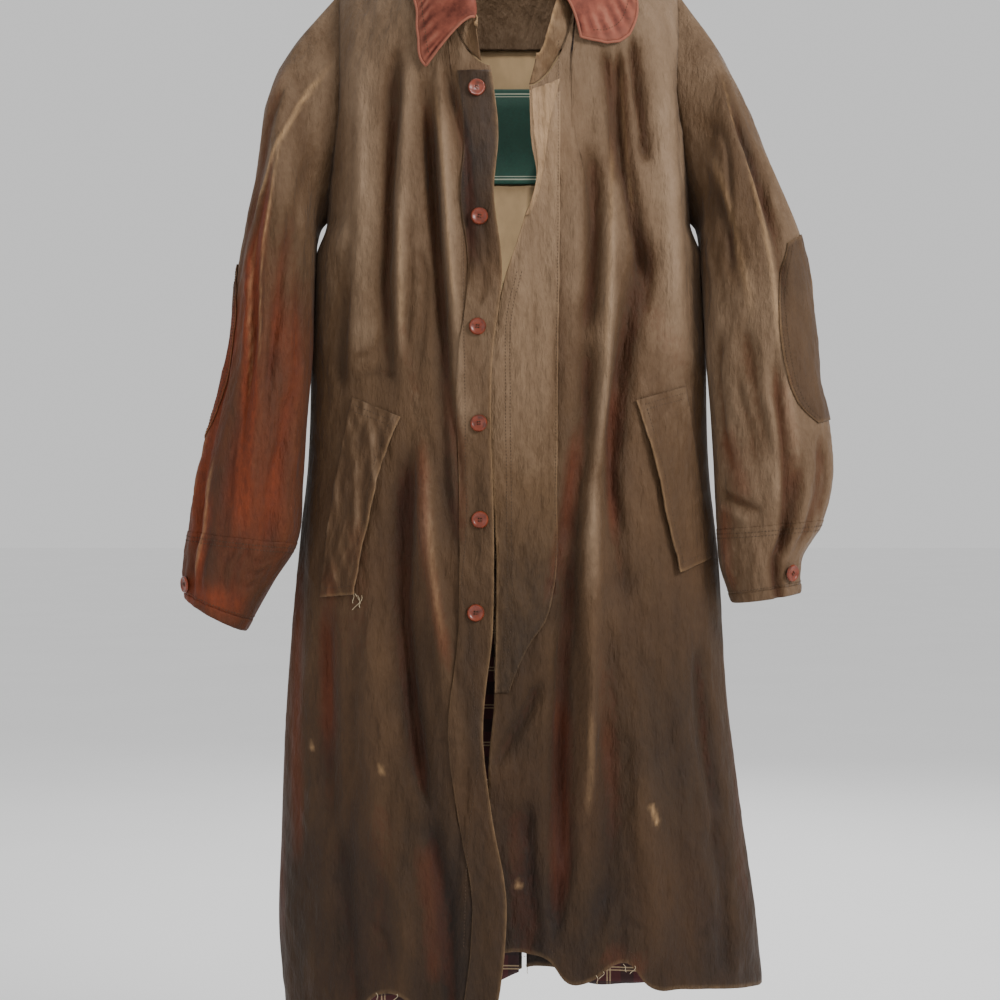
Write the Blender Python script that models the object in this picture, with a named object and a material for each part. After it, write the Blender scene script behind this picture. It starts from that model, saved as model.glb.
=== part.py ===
"""A waxed cotton duster coat that hangs open from its shoulders.

Every cloth piece is a thin wall of its own. The body is one hollow form, cut
into fronts and backs along its seams; the sleeves are tubes through rings.
X runs to the wearer's left, the front faces -Y and Z is up. The origin lies
between the shoulders, where the wearer's back would carry the coat.
Tables are in millimetres, and a drop is measured down from the origin.
"""

import math

import bmesh
import bpy
import numpy as np
from mathutils import Matrix, Vector

MM = 0.001

# Cloth and trim, mm
SHELL_WALL = 1.6
CUFF_WALL = 2.0
LEATHER_WALL = 1.8
STAND_WALL = 2.0
FLAP_WALL = 1.8
STRIP_WALL = 1.2
PATCH_WALL = 1.4
LINING_WALL = 1.0
LABEL_WALL = 1.0
SEAM_GAP = 0.3
TRIM_GAP = 0.8
PATCH_GAP = 1.6
FACING_HANG = 4.0

# Cut of the body, mm
NECK_HALF = 87.0
SHOULDER_HALF = 198.0
NECK_RISE = 32.0
SHOULDER_FALL = 72.0
SHOULDER_CURVE = 1.5
UNDERARM_DROP = 310.0
NAPE_DIP = 15.0
FRONT_DOME = 130.0
BACK_DOME = 100.0
SECTION_POWER = 2.6
RIGHT_NECK_POWER = 1.8
LEFT_NECK_POWER = 1.8
FRONT_SCYE = 27.0
BACK_SCYE = 24.0
LAP_LIFT = 6.0
LAP_START = 110.0
LAP_RUN = 60.0
FINEST_FOLD = 9.5
COLUMN_LEAN = 0.4
LEVEL_DROP = 330.0
LEVEL_SHARE = 0.5
VENT_TOP = 700.0
VENT_OPEN = 2.5

BUTTON_RADIUS = 9.6
BUTTON_THICK = 3.4

# Half girths of the body at each drop, mm
SECTION = (
    # drop, right, left, front, back
    (-45, 198, 198, 92, 84),
    (40, 198, 198, 92, 84),
    (110, 203, 203, 97, 88),
    (310, 212, 212, 104, 92),
    (500, 222, 222, 108, 98),
    (712, 248, 246, 113, 104),
    (870, 261, 257, 117, 109),
    (1024, 267, 277, 121, 113),
    (1150, 269, 294, 124, 117),
    (1225, 260, 298, 125, 119),
    (1265, 254, 298, 125, 119),
)

# Free edge of each front, mm
RIGHT_EDGE = (
    # drop, x
    (150, -21), (226, -12), (290, -17), (380, -8), (470, -18), (700, -17),
    (775, -18), (900, -29), (980, -20), (1084, -3), (1134, -5), (1205, -14),
)
LEFT_EDGE = (
    # drop, x
    (172, 23), (240, 26), (272, 31), (322, 17), (394, -6), (453, -18),
    (600, -19), (703, -14), (775, -14.5), (863, -16.5), (920, -22), (1000, -24), (1150, -20),
)

# Hem drop across each panel, mm
RIGHT_HEM = (
    # x, drop
    (-270, 1222), (-220, 1216), (-170, 1207), (-146, 1186), (-122, 1184), (-98, 1204),
    (-60, 1212), (0, 1203),
)
LEFT_HEM = (
    # x, drop
    (-30, 1138), (20, 1140), (48, 1150), (60, 1167), (84, 1172), (97, 1166), (119, 1151),
    (137, 1153), (150, 1171), (200, 1182), (240, 1186), (298, 1194),
)
BACK_HEM = (
    # x, drop
    (-270, 1222), (-210, 1240), (-140, 1258), (-60, 1252), (-10, 1230), (20, 1217),
    (55, 1216), (105, 1233), (150, 1231), (220, 1222), (298, 1194),
)

# Folds of the right front, mm: a ridge has a positive height, a trough a negative one
RIGHT_FOLDS = (
    # drops at top, middle, end; x at top, middle, end; height; width left, right
    (105, 320, 540, -130, -136, -134, -9, 10, 8),
    (110, 330, 520, -109, -124, -127, 5, 8, 8),
    (135, 390, 740, -92, -79, -54, -13, 7, 9),
    (150, 400, 720, -80, -66, -52, 6, 6, 9),
    (140, 244, 400, -72, -49, -36, -8, 8, 7),
    (90, 300, 520, -168, -168, -176, 6, 20, 20),
    (330, 420, 520, -184, -187, -193, -5, 6, 6),
    (560, 770, 990, -114, -117, -90, -14, 13, 6),
    (570, 750, 930, -96, -82, -54, 7, 9, 10),
    (750, 880, 1020, -206, -209, -200, -7, 13, 13),
    (740, 900, 1070, -154, -150, -140, 7, 18, 18),
    (980, 1080, 1240, -90, -72, -60, -9, 10, 10),
    (990, 1090, 1240, -194, -184, -168, -7, 12, 12),
    (1030, 1120, 1240, -122, -116, -133, 9, 17, 17),
    (700, 850, 990, -52, -42, -30, -5, 5, 8),
)

# Folds of the left front, mm
LEFT_FOLDS = (
    # drops at top, middle, end; x at top, middle, end; height; width left, right
    (118, 200, 290, 106, 118, 121, -8, 7, 7),
    (112, 240, 400, 125, 131, 160, -10, 6, 6),
    (100, 190, 265, 141, 150, 159, -8, 6, 6),
    (330, 460, 600, 160, 133, 116, -13, 15, 12),
    (230, 350, 460, 96, 97, 87, -9, 10, 10),
    (440, 600, 700, 92, 80, 64, -8, 10, 10),
    (290, 470, 610, 112, 109, 99, 8, 8, 8),
    (590, 800, 1010, 94, 93, 80, 11, 10, 10),
    (650, 860, 1150, 72, 59, 52, -13, 9, 10),
    (545, 670, 760, 118, 120, 134, -8, 11, 11),
    (790, 920, 1010, 214, 224, 246, -6, 10, 10),
    (985, 1040, 1180, 232, 240, 246, -5, 8, 8),
    (920, 1040, 1170, 146, 157, 163, 7, 22, 22),
    (860, 990, 1120, 107, 115, 101, -6, 12, 12),
    (830, 890, 945, 38, 10, -18, -4, 8, 6),
    (140, 320, 505, 178, 183, 190, 6, 18, 18),
    (955, 1060, 1190, 10, 14, 20, -9, 26, 22),
)

# Folds of the back, mm, similar to those of the fronts
BACK_FOLDS = (
    # drops at top, middle, end; x at top, middle, end; height; width left, right
    (150, 420, 760, -70, -84, -98, -11, 10, 12),
    (170, 430, 700, -46, -56, -66, 7, 12, 12),
    (130, 340, 560, -128, -140, -150, -9, 10, 10),
    (220, 520, 900, -22, -30, -40, -8, 11, 11),
    (140, 380, 700, 66, 74, 88, -12, 10, 10),
    (180, 400, 650, 92, 104, 118, 7, 12, 12),
    (130, 330, 580, 138, 146, 158, -9, 10, 11),
    (560, 860, 1250, -128, -136, -150, -12, 14, 12),
    (620, 900, 1250, -92, -100, -106, 10, 18, 18),
    (760, 980, 1250, -58, -62, -58, -10, 13, 13),
    (600, 880, 1250, 112, 126, 140, -13, 13, 14),
    (680, 940, 1250, 72, 80, 84, 9, 17, 17),
    (740, 960, 1250, 176, 190, 206, -9, 14, 14),
    (700, 960, 1250, -196, -206, -216, -8, 14, 14),
)

# Folds at the side seams: angle round the body from the wearer's left side
SIDE_FOLDS = (
    # drops at top, end; degrees at top, end; height, width in degrees
    (420, 900, 196, 200, -5, 5),
    (640, 1250, 173, 170, -6, 5),
    (430, 880, 345, 342, -5, 5),
    (700, 1250, 6, 8, -6, 5),
)

# Rings of the sleeves below the armhole: outer and inner ends, half depth and middle, mm
RIGHT_RINGS = (
    # outer x, outer drop, inner x, inner drop, half depth, y
    (-252, 108, -220, 322, 55, -10),
    (-272, 150, -222, 336, 57, -24),
    (-292, 268, -223, 366, 57, -38),
    (-309, 360, -224, 412, 56, -46),
    (-318, 452, -225, 472, 55, -51),
    (-338, 544, -231, 546, 55, -55),
    (-356, 613, -235, 614, 55, -58),
    (-366, 674, -243, 688, 53, -60),
    (-370, 712, -268, 728, 50, -62),
    (-367, 748, -300, 785, 44, -62),
)
LEFT_RINGS = (
    # outer x, outer drop, inner x, inner drop, half depth, y
    (240, 104, 220, 322, 55, -10),
    (262, 150, 221, 336, 58, -24),
    (301, 248, 222, 366, 59, -37),
    (334, 332, 224, 412, 59, -46),
    (348, 418, 226, 470, 59, -51),
    (355, 498, 231, 535, 59, -55),
    (367, 556, 234, 590, 59, -58),
    (369, 613, 236, 636, 57, -60),
    (357, 662, 238, 672, 53, -61),
    (334, 700, 242, 712, 48, -62),
    (331, 741, 256, 753, 43, -62),
)
RIGHT_CUFF_RING = 8
LEFT_CUFF_RING = 9
BINDING = 11.0

# Folds along the sleeves: 0 degrees faces the body, 90 the front, 180 outwards
RIGHT_SLEEVE_FOLDS = (
    # start and end along the sleeve, degrees there, height, width in degrees
    (40, 260, 128, 158, -5, 9),
    (90, 420, 70, 84, -6, 9),
    (180, 560, 112, 104, -7, 8),
    (440, 640, 142, 134, -5, 8),
    (330, 560, 48, 56, -6, 9),
    (60, 480, 262, 268, -7, 10),
    (450, 650, 236, 226, -6, 10),
    (120, 420, 300, 306, -5, 10),
)
LEFT_SLEEVE_FOLDS = (
    # start and end along the sleeve, degrees there, height, width in degrees
    (40, 240, 60, 74, -5, 9),
    (40, 230, 128, 118, -6, 9),
    (250, 470, 66, 76, -6, 9),
    (420, 640, 104, 102, -10, 8),
    (400, 560, 140, 128, -6, 8),
    (60, 480, 262, 268, -7, 10),
    (450, 650, 236, 226, -6, 10),
    (120, 420, 300, 306, -5, 10),
)
UNDER_SEAM = 160.0
FRONT_SEAM = -30.0
SEAM_TURN = 0.16

# Collar stand: top edge from the neck seam, mm, along the neck from right front to left front
STAND = (
    # place along the neck, x, y, up
    (0.014, -7, -8, 42),
    (0.05, 12, -10, 36),
    (0.09, 18, -10, 34),
    (0.15, 18, -6, 31),
    (0.22, 16, -2, 32),
    (0.30, 14, 0, 33),
    (0.50, 0, -4, 35),
    (0.70, -12, 0, 33),
    (0.80, -14, -6, 32),
    (0.86, -13, -9, 27),
    (0.90, -16, -9, 22),
    (0.95, -9, -9, 28),
    (1.00, 8, -7, 34),
)

# Leather fall: where its outer edge lies on the coat, mm
FALL = (
    # place along the neck, x, drop
    (0.016, -92, 149),
    (0.04, -97, 143),
    (0.08, -101, 112),
    (0.15, -104, 80),
    (0.22, -114, 42),
    (0.30, -132, 7.2),
    (0.40, -88, 38),
    (0.50, 0, 46),
    (0.60, 90, 38),
    (0.66, 122, 20),
    (0.70, 136, 9.0),
    (0.745, 143, 45),
    (0.79, 142, 92),
    (0.835, 123, 118),
    (0.865, 99, 121),
    (0.885, 80, 117),
)
NECK_CLEAR = 2.0
FALL_REACH = 20.0
FALL_LIFT = 5.5
ROLL_GAP = 2.8

# Fly placket's stitched edge on the left front, mm
FLY_SEAM = (
    # drop, x
    (120, 58), (400, 56), (636, 53), (735, 50), (772, 40), (795, 24), (825, 9), (850, 0),
)
# Turned-back facing at the top of the left front, mm
FACING_EDGE = (
    # drop, inner x, outer x
    (177, 26, 58), (196, 26, 52), (224, 28, 45), (270, 32, 38.5), (300, 25, 31), (318, 19, 23),
)
FACING_SLANT = 13.0
STRIP_WIDTH = 38.0
STRIP_TOP = 156.0
STRIP_END = 1190.0

# Pocket flaps: free edge and side edge, mm
RIGHT_FLAP = (
    # share down, free x, free drop, side x, side drop
    (0.00, -121, 543, -176, 520),
    (0.25, -140, 590, -188, 574),
    (0.50, -152, 640, -198, 630),
    (0.75, -163, 690, -207, 688),
    (1.00, -172, 742, -213, 746),
)
LEFT_FLAP = (
    # share down, free x, free drop, side x, side drop
    (0.00, 143, 524, 200, 507),
    (0.25, 156, 572, 208, 556),
    (0.50, 168, 620, 216, 606),
    (0.75, 178, 670, 223, 655),
    (1.00, 191, 718, 230, 702),
)
FLAP_LIFT = 4.0
RIGHT_FLAP_SEAT = -0.9
LEFT_FLAP_SEAT = 0.0

# Elbow patches on the sleeves
RIGHT_PATCH = (
    # share down, along the sleeve, degrees at the front edge, degrees at the back edge
    (0.00, 236, 172, 206),
    (0.20, 262, 154, 226),
    (0.55, 330, 148, 234),
    (0.85, 404, 158, 226),
    (1.00, 428, 176, 206),
)
LEFT_PATCH = (
    # share down, along the sleeve, degrees at the front edge, degrees at the back edge
    (0.00, 218, 128, 196),
    (0.20, 244, 112, 218),
    (0.55, 312, 103, 226),
    (0.85, 386, 116, 216),
    (1.00, 410, 134, 196),
)

# Front buttons on the button strip, mm
BUTTONS = (
    # x, drop
    (-36, 176), (-33, 320), (-35, 443), (-33, 551), (-32, 658), (-37, 761),
)
LABEL_BOX = (-40.0, 134.0, 50.0, 252.0)
FACING_DROP = 87.0
YOKE_DROP = 450.0
VENT_FACING = 38.0
LINING_HANG = 15.0

# Colours of the real surfaces, linear
OLIVE = (0.115, 0.085, 0.052)
OLIVE_DARK = (0.072, 0.050, 0.033)
LEATHER = (0.180, 0.068, 0.050)
TAN = (0.300, 0.180, 0.100)
CHECK = (0.060, 0.012, 0.014)
GREEN = (0.010, 0.060, 0.050)
HORN = (0.190, 0.060, 0.038)


def curve(table, column, at):
    """Smooth value of one column of a table at places in its first column."""
    rows = np.asarray(table, dtype=float)
    xs = rows[:, 0]
    ys = rows[:, column]
    slopes = np.gradient(ys, xs)
    index = np.clip(np.searchsorted(xs, at, side="right") - 1, 0, len(xs) - 2)
    step = xs[index + 1] - xs[index]
    t = np.clip((at - xs[index]) / step, 0.0, 1.0)
    rise = (2 * t ** 3 - 3 * t ** 2 + 1) * ys[index] + (3 * t ** 2 - 2 * t ** 3) * ys[index + 1]
    lean = (t ** 3 - 2 * t ** 2 + t) * slopes[index] + (t ** 3 - t ** 2) * slopes[index + 1]
    return rise + lean * step


def ease(t):
    """Smooth step from 0 to 1."""
    t = np.clip(t, 0.0, 1.0)
    return t * t * (3.0 - 2.0 * t)


def unit(vectors):
    """Rows scaled to length one."""
    return vectors / np.maximum(np.linalg.norm(vectors, axis=-1, keepdims=True), 1e-12)


def shoulder_drop(x):
    """Drop of the shoulder line at x."""
    return SHOULDER_FALL * (np.abs(x) / SHOULDER_HALF) ** SHOULDER_CURVE - NECK_RISE


def neck_point_drop():
    """Drop where the neckline meets the shoulder seam."""
    return float(shoulder_drop(NECK_HALF))


def half_width(x, drop):
    """Half girth on the side that x lies on."""
    return np.where(x > 0, curve(SECTION, 2, drop), curve(SECTION, 1, drop))


def angle_at(x, drop):
    """Angle round the body, 0 at the wearer's left side, of a place x on the front."""
    share = np.clip(np.abs(x) / half_width(x, drop), 1e-4, 0.99999)
    angle = np.arctan((share ** -SECTION_POWER - 1.0) ** (1.0 / SECTION_POWER))
    return np.where(x > 0, angle, math.pi - angle)


def fold_height(folds, x, drop):
    """Sum of the folds in a table at x and drop."""
    total = np.zeros_like(x)
    for top, middle, end, x_top, x_middle, x_end, height, left, right in folds:
        path = curve(((top, x_top), (middle, x_middle), (end, x_end)), 1, drop)
        away = x - path
        width = np.maximum(np.where(away < 0, left, right), FINEST_FOLD)
        run = (end - top) * 0.18
        window = ease((drop - top) / run) * ease((end - drop) / run)
        total += height * window * np.exp(-(away / width) ** 2)
    return total


def side_height(angle, drop):
    """Sum of the folds near the side seams."""
    total = np.zeros_like(drop)
    degrees = np.degrees(angle)
    for top, end, start, stop, height, width in SIDE_FOLDS:
        centre = start + (stop - start) * np.clip((drop - top) / (end - top), 0, 1)
        away = (degrees - centre + 180.0) % 360.0 - 180.0
        run = (end - top) * 0.25
        window = ease((drop - top) / run) * ease((end - drop) / run)
        total += height * window * np.exp(-(away / width) ** 2)
    return total


def body_point(face, angle, drop):
    """Point of the body at an angle from 0 to 180 degrees across one face, mm.

    face is right or left for that front, back for the back, or inside for the
    back without its folds.
    """
    cosine = np.cos(angle)
    sine = np.sin(angle)
    size = (np.abs(cosine) ** SECTION_POWER + np.abs(sine) ** SECTION_POWER) ** (1.0 / SECTION_POWER)
    width = np.where(cosine > 0, curve(SECTION, 2, drop), curve(SECTION, 1, drop))
    behind = face in ("back", "inside")
    depth = curve(SECTION, 4 if behind else 3, drop)
    x = width * cosine / size
    dome = BACK_DOME if behind else FRONT_DOME
    below = np.clip((drop - shoulder_drop(x)) / dome, 0.0, 1.0)
    swell = np.sqrt(1.0 - (1.0 - below) ** 2)
    y = depth * sine / size * swell
    turn = 2.0 * math.pi - angle if behind else angle
    height = side_height(turn, drop) * (face != "inside")
    facing = ease((sine - 0.12) / 0.3)
    if face == "right":
        edge = curve(RIGHT_EDGE, 1, drop)
        height = height + fold_height(RIGHT_FOLDS, x, drop) * facing * ease((edge - x - 38) / 20)
        y = y + LAP_LIFT * ease((x + LAP_START) / LAP_RUN)
    elif face == "left":
        edge = curve(LEFT_EDGE, 1, drop)
        height = height + fold_height(LEFT_FOLDS, x, drop) * facing * ease((x - edge + 6) / 20)
    elif face == "back":
        height = height + fold_height(BACK_FOLDS, x, drop) * facing
    lean_x = np.sign(cosine) * (np.abs(cosine) / size) ** (SECTION_POWER - 1) / width
    lean_y = (np.abs(sine) / size) ** (SECTION_POWER - 1) / depth * np.sign(sine)
    length = np.hypot(lean_x, lean_y)
    x = x + height * lean_x / length
    y = y + height * lean_y / length + SEAM_GAP / 2
    side = 1.0 if behind else -1.0
    return np.stack([x, side * y, -drop + 0.0 * x], axis=-1)


def body_normal(face, angle, drop):
    """Outward normal of the body, level across the side seams and upright on the shoulders."""
    around = body_point(face, angle + 0.02, drop) - body_point(face, angle - 0.02, drop)
    down = body_point(face, angle, drop + 8.0) - body_point(face, angle, drop - 8.0)
    found = unit(np.cross(around, down))
    here = body_point(face, angle, drop)
    if face in ("back", "inside"):
        found = -found
    below = drop - shoulder_drop(here[:, 0])
    found[:, 1] *= ease(below / 6.0) * ease(np.abs(np.sin(angle)) / 0.1)
    return unit(found)


def outward(place, u, v, turn, step_u=0.006, step_v=0.004):
    """Outward normals of a mapped sheet, by short steps along it."""
    low_v = np.clip(v - step_v, 0.0, 1.0)
    high_v = np.clip(v + step_v, 0.0, 1.0)
    along_u = place(u + step_u, v) - place(u - step_u, v)
    along_v = place(u, high_v) - place(u, low_v)
    return unit(np.cross(along_u, along_v)) * turn


def scye_angle(drop, reach):
    """Angle in from the side seam at which the armhole cuts a panel."""
    tip = float(shoulder_drop(SHOULDER_HALF))
    share = np.clip((drop - tip) / (UNDERARM_DROP - tip), 0.0, 1.0)
    return np.radians(reach) * np.sin(math.pi * share) ** 0.7


def neckline_drop(x, corner, power):
    """Drop of a front neckline between the neck point and the front corner."""
    corner_drop, corner_x = corner
    across = np.clip((NECK_HALF - np.abs(x)) / (NECK_HALF - abs(corner_x)), 0.0, 1.0)
    rise = (1.0 - (1.0 - across) ** power) ** (1.0 / power)
    return neck_point_drop() + (corner_drop - neck_point_drop()) * rise


def back_neckline_drop(x):
    """Drop of the back neckline."""
    dip = np.clip(1.0 - (np.abs(x) / NECK_HALF) ** 2.2, 0.0, 1.0)
    return neck_point_drop() + NAPE_DIP * dip


def row_drop(top, hem, v):
    """Drop of a row: close rows near the shoulder, level rows below the chest."""
    upper = top + (LEVEL_DROP - top) * np.clip(v / LEVEL_SHARE, 0.0, 1.0) ** 1.6
    lower = LEVEL_DROP + (hem - LEVEL_DROP) * np.clip((v - LEVEL_SHARE) / (1.0 - LEVEL_SHARE), 0.0, 1.0)
    return np.where(v < LEVEL_SHARE, upper, lower)


def section_x(angle, width):
    """X of the body section of a half width at an angle."""
    cosine = np.cos(angle)
    size = np.abs(cosine) ** SECTION_POWER + np.abs(np.sin(angle)) ** SECTION_POWER
    return width * cosine / size ** (1.0 / SECTION_POWER)


def even_columns(edge):
    """Where columns go along a top edge so that they are evenly long, from edge points."""
    length = np.concatenate([[0.0], np.cumsum(np.linalg.norm(np.diff(edge, axis=0), axis=1))])
    return length / length[-1]


def panel_spot(face, side, edge_of, hem_table, top_of, scye):
    """Angle and drop on a body panel: u from the side to its front or centre edge, v down."""

    def angle_of(share, drop):
        start = scye_angle(drop, scye)
        if side < 0:
            start = math.pi - start
        stop = angle_at(edge_of(drop), drop)
        return start + (stop - start) * share

    def top_at(share):
        low = np.full_like(share, -60.0)
        high = np.full_like(share, 220.0)
        for _ in range(30):
            middle = (low + high) / 2.0
            angle = angle_of(share, middle)
            above = top_of(section_x(angle, half_width(np.cos(angle), middle))) > middle
            low = np.where(above, middle, low)
            high = np.where(above, high, middle)
        return (low + high) / 2.0

    fine = np.linspace(0.0, 1.0, 400)
    fine_top = top_at(fine)
    spread = even_columns(body_point(face, angle_of(fine, fine_top), fine_top))

    def spot(u, v):
        inside = np.clip(u, 0.0, 1.0)
        lean = (np.interp(inside, spread, fine) - inside) * COLUMN_LEAN
        share = u + lean * (1.0 - v) ** 2.5
        top = top_at(u + lean)
        level = np.full_like(u, 1200.0)
        hem_angle = angle_of(share, level)
        hem_x = section_x(hem_angle, half_width(np.cos(hem_angle), level))
        drop = row_drop(top, curve(hem_table, 1, hem_x), v)
        return angle_of(share, drop), drop

    return spot


def front_spot(face):
    """Spots of one front."""
    edge = RIGHT_EDGE if face == "right" else LEFT_EDGE
    hem = RIGHT_HEM if face == "right" else LEFT_HEM
    power = RIGHT_NECK_POWER if face == "right" else LEFT_NECK_POWER
    side = -1.0 if face == "right" else 1.0

    def top_of(x):
        return np.where(x * side > NECK_HALF, shoulder_drop(x), neckline_drop(x, edge[0], power))

    def edge_of(drop):
        return curve(edge, 1, drop)

    return panel_spot(face, side, edge_of, hem, top_of, FRONT_SCYE)


def vent_edge(drop, side):
    """X of a back panel's centre edge: a seam above, a vent that opens below."""
    shift = 20.0 * ease((drop - 500.0) / 720.0)
    part = SEAM_GAP / 2 + VENT_OPEN * ease((drop - VENT_TOP) / 500.0)
    return shift + side * part


def back_spot(side):
    """Spots of one back half."""

    def top_of(x):
        return np.where(np.abs(x) > NECK_HALF, shoulder_drop(x), back_neckline_drop(x))

    def edge_of(drop):
        return vent_edge(drop, side)

    return panel_spot("back", side, edge_of, BACK_HEM, top_of, BACK_SCYE)


def panel(face, spot):
    """Place and normals of a body panel from its angles and drops."""

    def place(u, v):
        return body_point(face, *spot(u, v))

    def normals(u, v):
        return body_normal(face, *spot(u, v))

    def seam(u, v):
        point = place(u, v)
        at_top = (v < 0.001) & (np.abs(point[:, 0]) > NECK_HALF - 0.5)
        return (u < 0.001) | at_top | ((u > 0.999) & (face == "back"))

    return place, normals, seam


def lay_on(face, corners, raised, lift=None, hang=None):
    """Map of a piece that lies on the body, from its x and drop at u and v."""

    def place(u, v):
        x, drop = corners(u, v)
        height = raised + (lift(u, v) if lift else 0.0) + (hang(drop) if hang else 0.0)
        angle = angle_at(x, drop)
        base = body_point(face, angle, drop)
        return base + body_normal(face, angle, drop) * np.reshape(height + 0.0 * drop, (-1, 1))

    return place


def armhole(side, theta):
    """Armhole curve: 0 at the underarm, pi/2 in front, pi at the shoulder tip."""
    tip = float(shoulder_drop(SHOULDER_HALF))
    drop = UNDERARM_DROP + (tip - UNDERARM_DROP) * (1.0 - np.cos(theta)) / 2.0
    front = np.sin(theta) >= 0
    in_front = scye_angle(drop, FRONT_SCYE)
    behind = scye_angle(drop, BACK_SCYE)
    if side < 0:
        in_front = math.pi - in_front
        behind = math.pi - behind
    face = "right" if side < 0 else "left"
    ahead = body_point(face, in_front, drop)
    back = body_point("back", behind, drop)
    return np.where(front[:, None], ahead, back)


def ring_points(side, rings, theta):
    """All rings of a sleeve at the angles theta, the armhole first."""
    clear = side * (0.4 + 1.0 * np.abs(np.sin(theta)))
    loops = [armhole(side, theta) + np.stack([clear, 0.0 * clear, 0.0 * clear], axis=-1)]
    for outer_x, outer_drop, inner_x, inner_drop, depth, y in rings:
        across = np.cos(theta) / 2.0
        x = (outer_x + inner_x) / 2.0 + (inner_x - outer_x) * across
        drop = (outer_drop + inner_drop) / 2.0 + (inner_drop - outer_drop) * across
        loops.append(np.stack([x, y - depth * np.sin(theta), -drop], axis=-1))
    return np.array(loops)


def ring_stations(side, rings):
    """Length along the sleeve's middle to each ring, mm."""
    around = np.linspace(0, 2 * math.pi, 24, endpoint=False)
    centres = ring_points(side, rings, around).mean(axis=1)
    steps = np.linalg.norm(np.diff(centres, axis=0), axis=1)
    return np.concatenate([[0.0], np.cumsum(steps)])


def sleeve_point(side, rings, folds, theta, along, raised=0.0):
    """Point of a sleeve at an angle round it and a length along it, mm."""
    loops = ring_points(side, rings, theta)
    stations = ring_stations(side, rings)
    slopes = np.gradient(loops, stations, axis=0)
    index = np.clip(np.searchsorted(stations, along, side="right") - 1, 0, len(stations) - 2)
    pick = np.arange(len(theta))
    step = (stations[index + 1] - stations[index])[:, None]
    t = (along[:, None] - stations[index][:, None]) / step
    point = (2 * t ** 3 - 3 * t ** 2 + 1) * loops[index, pick]
    point += (3 * t ** 2 - 2 * t ** 3) * loops[index + 1, pick]
    point += (t ** 3 - 2 * t ** 2 + t) * slopes[index, pick] * step
    point += (t ** 3 - t ** 2) * slopes[index + 1, pick] * step
    height = np.zeros_like(theta) + raised
    degrees = np.degrees(theta)
    for start, stop, first, last, tall, width in folds:
        centre = first + (last - first) * np.clip((along - start) / (stop - start), 0, 1)
        away = (degrees - centre + 180.0) % 360.0 - 180.0
        run = (stop - start) * 0.3
        window = ease((along - start) / run) * ease((stop - along) / run)
        height += tall * window * np.exp(-(away / width) ** 2)
    leave = ease(along / 60.0)
    spoke = np.stack([-side * np.cos(theta), -np.sin(theta), np.zeros_like(theta)], axis=-1)
    return point + spoke * (height * (raised > 0 or leave))[:, None]


def sleeve_place(side, rings, folds, turn_range, along_range, raised=0.0):
    """Map of a stretch of a sleeve: u round it, v along it."""

    def place(u, v):
        theta = np.radians(turn_range[0] + (turn_range[1] - turn_range[0]) * u)
        along = along_range[0] + (along_range[1] - along_range[0]) * v
        return sleeve_point(side, rings, folds, theta, along, raised)

    return place


def sleeve_normals(place, turn, turn_range, side):
    """Normals of a sleeve that follow the body's at the top of the armhole."""

    def normals(u, v):
        found = outward(place, u, v, turn)
        theta = np.radians(turn_range[0] + (turn_range[1] - turn_range[0]) * u)
        over = ease((-np.cos(theta) + 0.1) / 0.7) * ease(1.0 - v / 0.08)
        upright = np.stack([np.zeros_like(u), np.zeros_like(u), np.ones_like(u)], axis=-1)
        tip = unit(found * np.array([1.0, 0.35, 1.0]) + upright * 1.5)
        return unit(found + (tip - found) * over[:, None])

    return normals


def neck_path():
    """Neck seam as places with x and drop: right front, nape, left front."""
    turn = np.linspace(0.0, math.pi / 2, 160)
    start = neck_point_drop()
    parts = []
    for side, corner, power in ((-1.0, RIGHT_EDGE[0], RIGHT_NECK_POWER),
                                (1.0, LEFT_EDGE[0], LEFT_NECK_POWER)):
        reach = NECK_HALF - side * corner[1]
        x = side * (NECK_HALF - reach * (1.0 - np.cos(turn) ** (2.0 / power)))
        drop = start + (corner[0] - start) * np.sin(turn) ** (2.0 / power)
        face = "right" if side < 0 else "left"
        share = even_columns(body_point(face, angle_at(x, drop), drop))
        parts.append((share, x, drop))
    return parts


def neck_seam(t):
    """Neck seam from the right front corner round the nape to the left, mm."""
    right, left = neck_path()
    reach_right = np.clip(1.0 - t / 0.3, 0.0, 1.0)
    reach_left = np.clip((t - 0.7) / 0.3, 0.0, 1.0)
    x_back = -NECK_HALF * np.cos(math.pi * np.clip((t - 0.3) / 0.4, 0.0, 1.0))

    def under(face, x, drop):
        angle = angle_at(x, drop)
        inset = SHELL_WALL + 1.6
        return body_point(face, angle, drop) - inset * body_normal(face, angle, drop)

    ahead = under("right", np.interp(reach_right, right[0], right[1]),
                  np.interp(reach_right, right[0], right[2]))
    after = under("left", np.interp(reach_left, left[0], left[1]),
                  np.interp(reach_left, left[0], left[2]))
    behind = under("back", x_back, back_neckline_drop(x_back))
    point = np.where((t < 0.3)[:, None], ahead, behind)
    return np.where((t > 0.7)[:, None], after, point)


def stand_vector(t):
    """From the neck seam to the top of the stand, mm."""
    return np.stack([curve(STAND, 1, t), curve(STAND, 2, t), curve(STAND, 3, t)], axis=-1)


def neck_clear(t):
    """Short step off the neck seam, in the plane of the cloth, into the neck opening."""
    tangent = unit(neck_seam(np.clip(t + 0.01, 0, 1)) - neck_seam(np.clip(t - 0.01, 0, 1)))
    across = np.stack([-tangent[:, 2], 0.0 * t, tangent[:, 0]], axis=-1)
    inward = np.where(across[:, 2:3] < 0, -1.0, 1.0)
    return unit(across * inward + np.array([0.0, 0.0, 0.4])) * NECK_CLEAR


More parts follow.
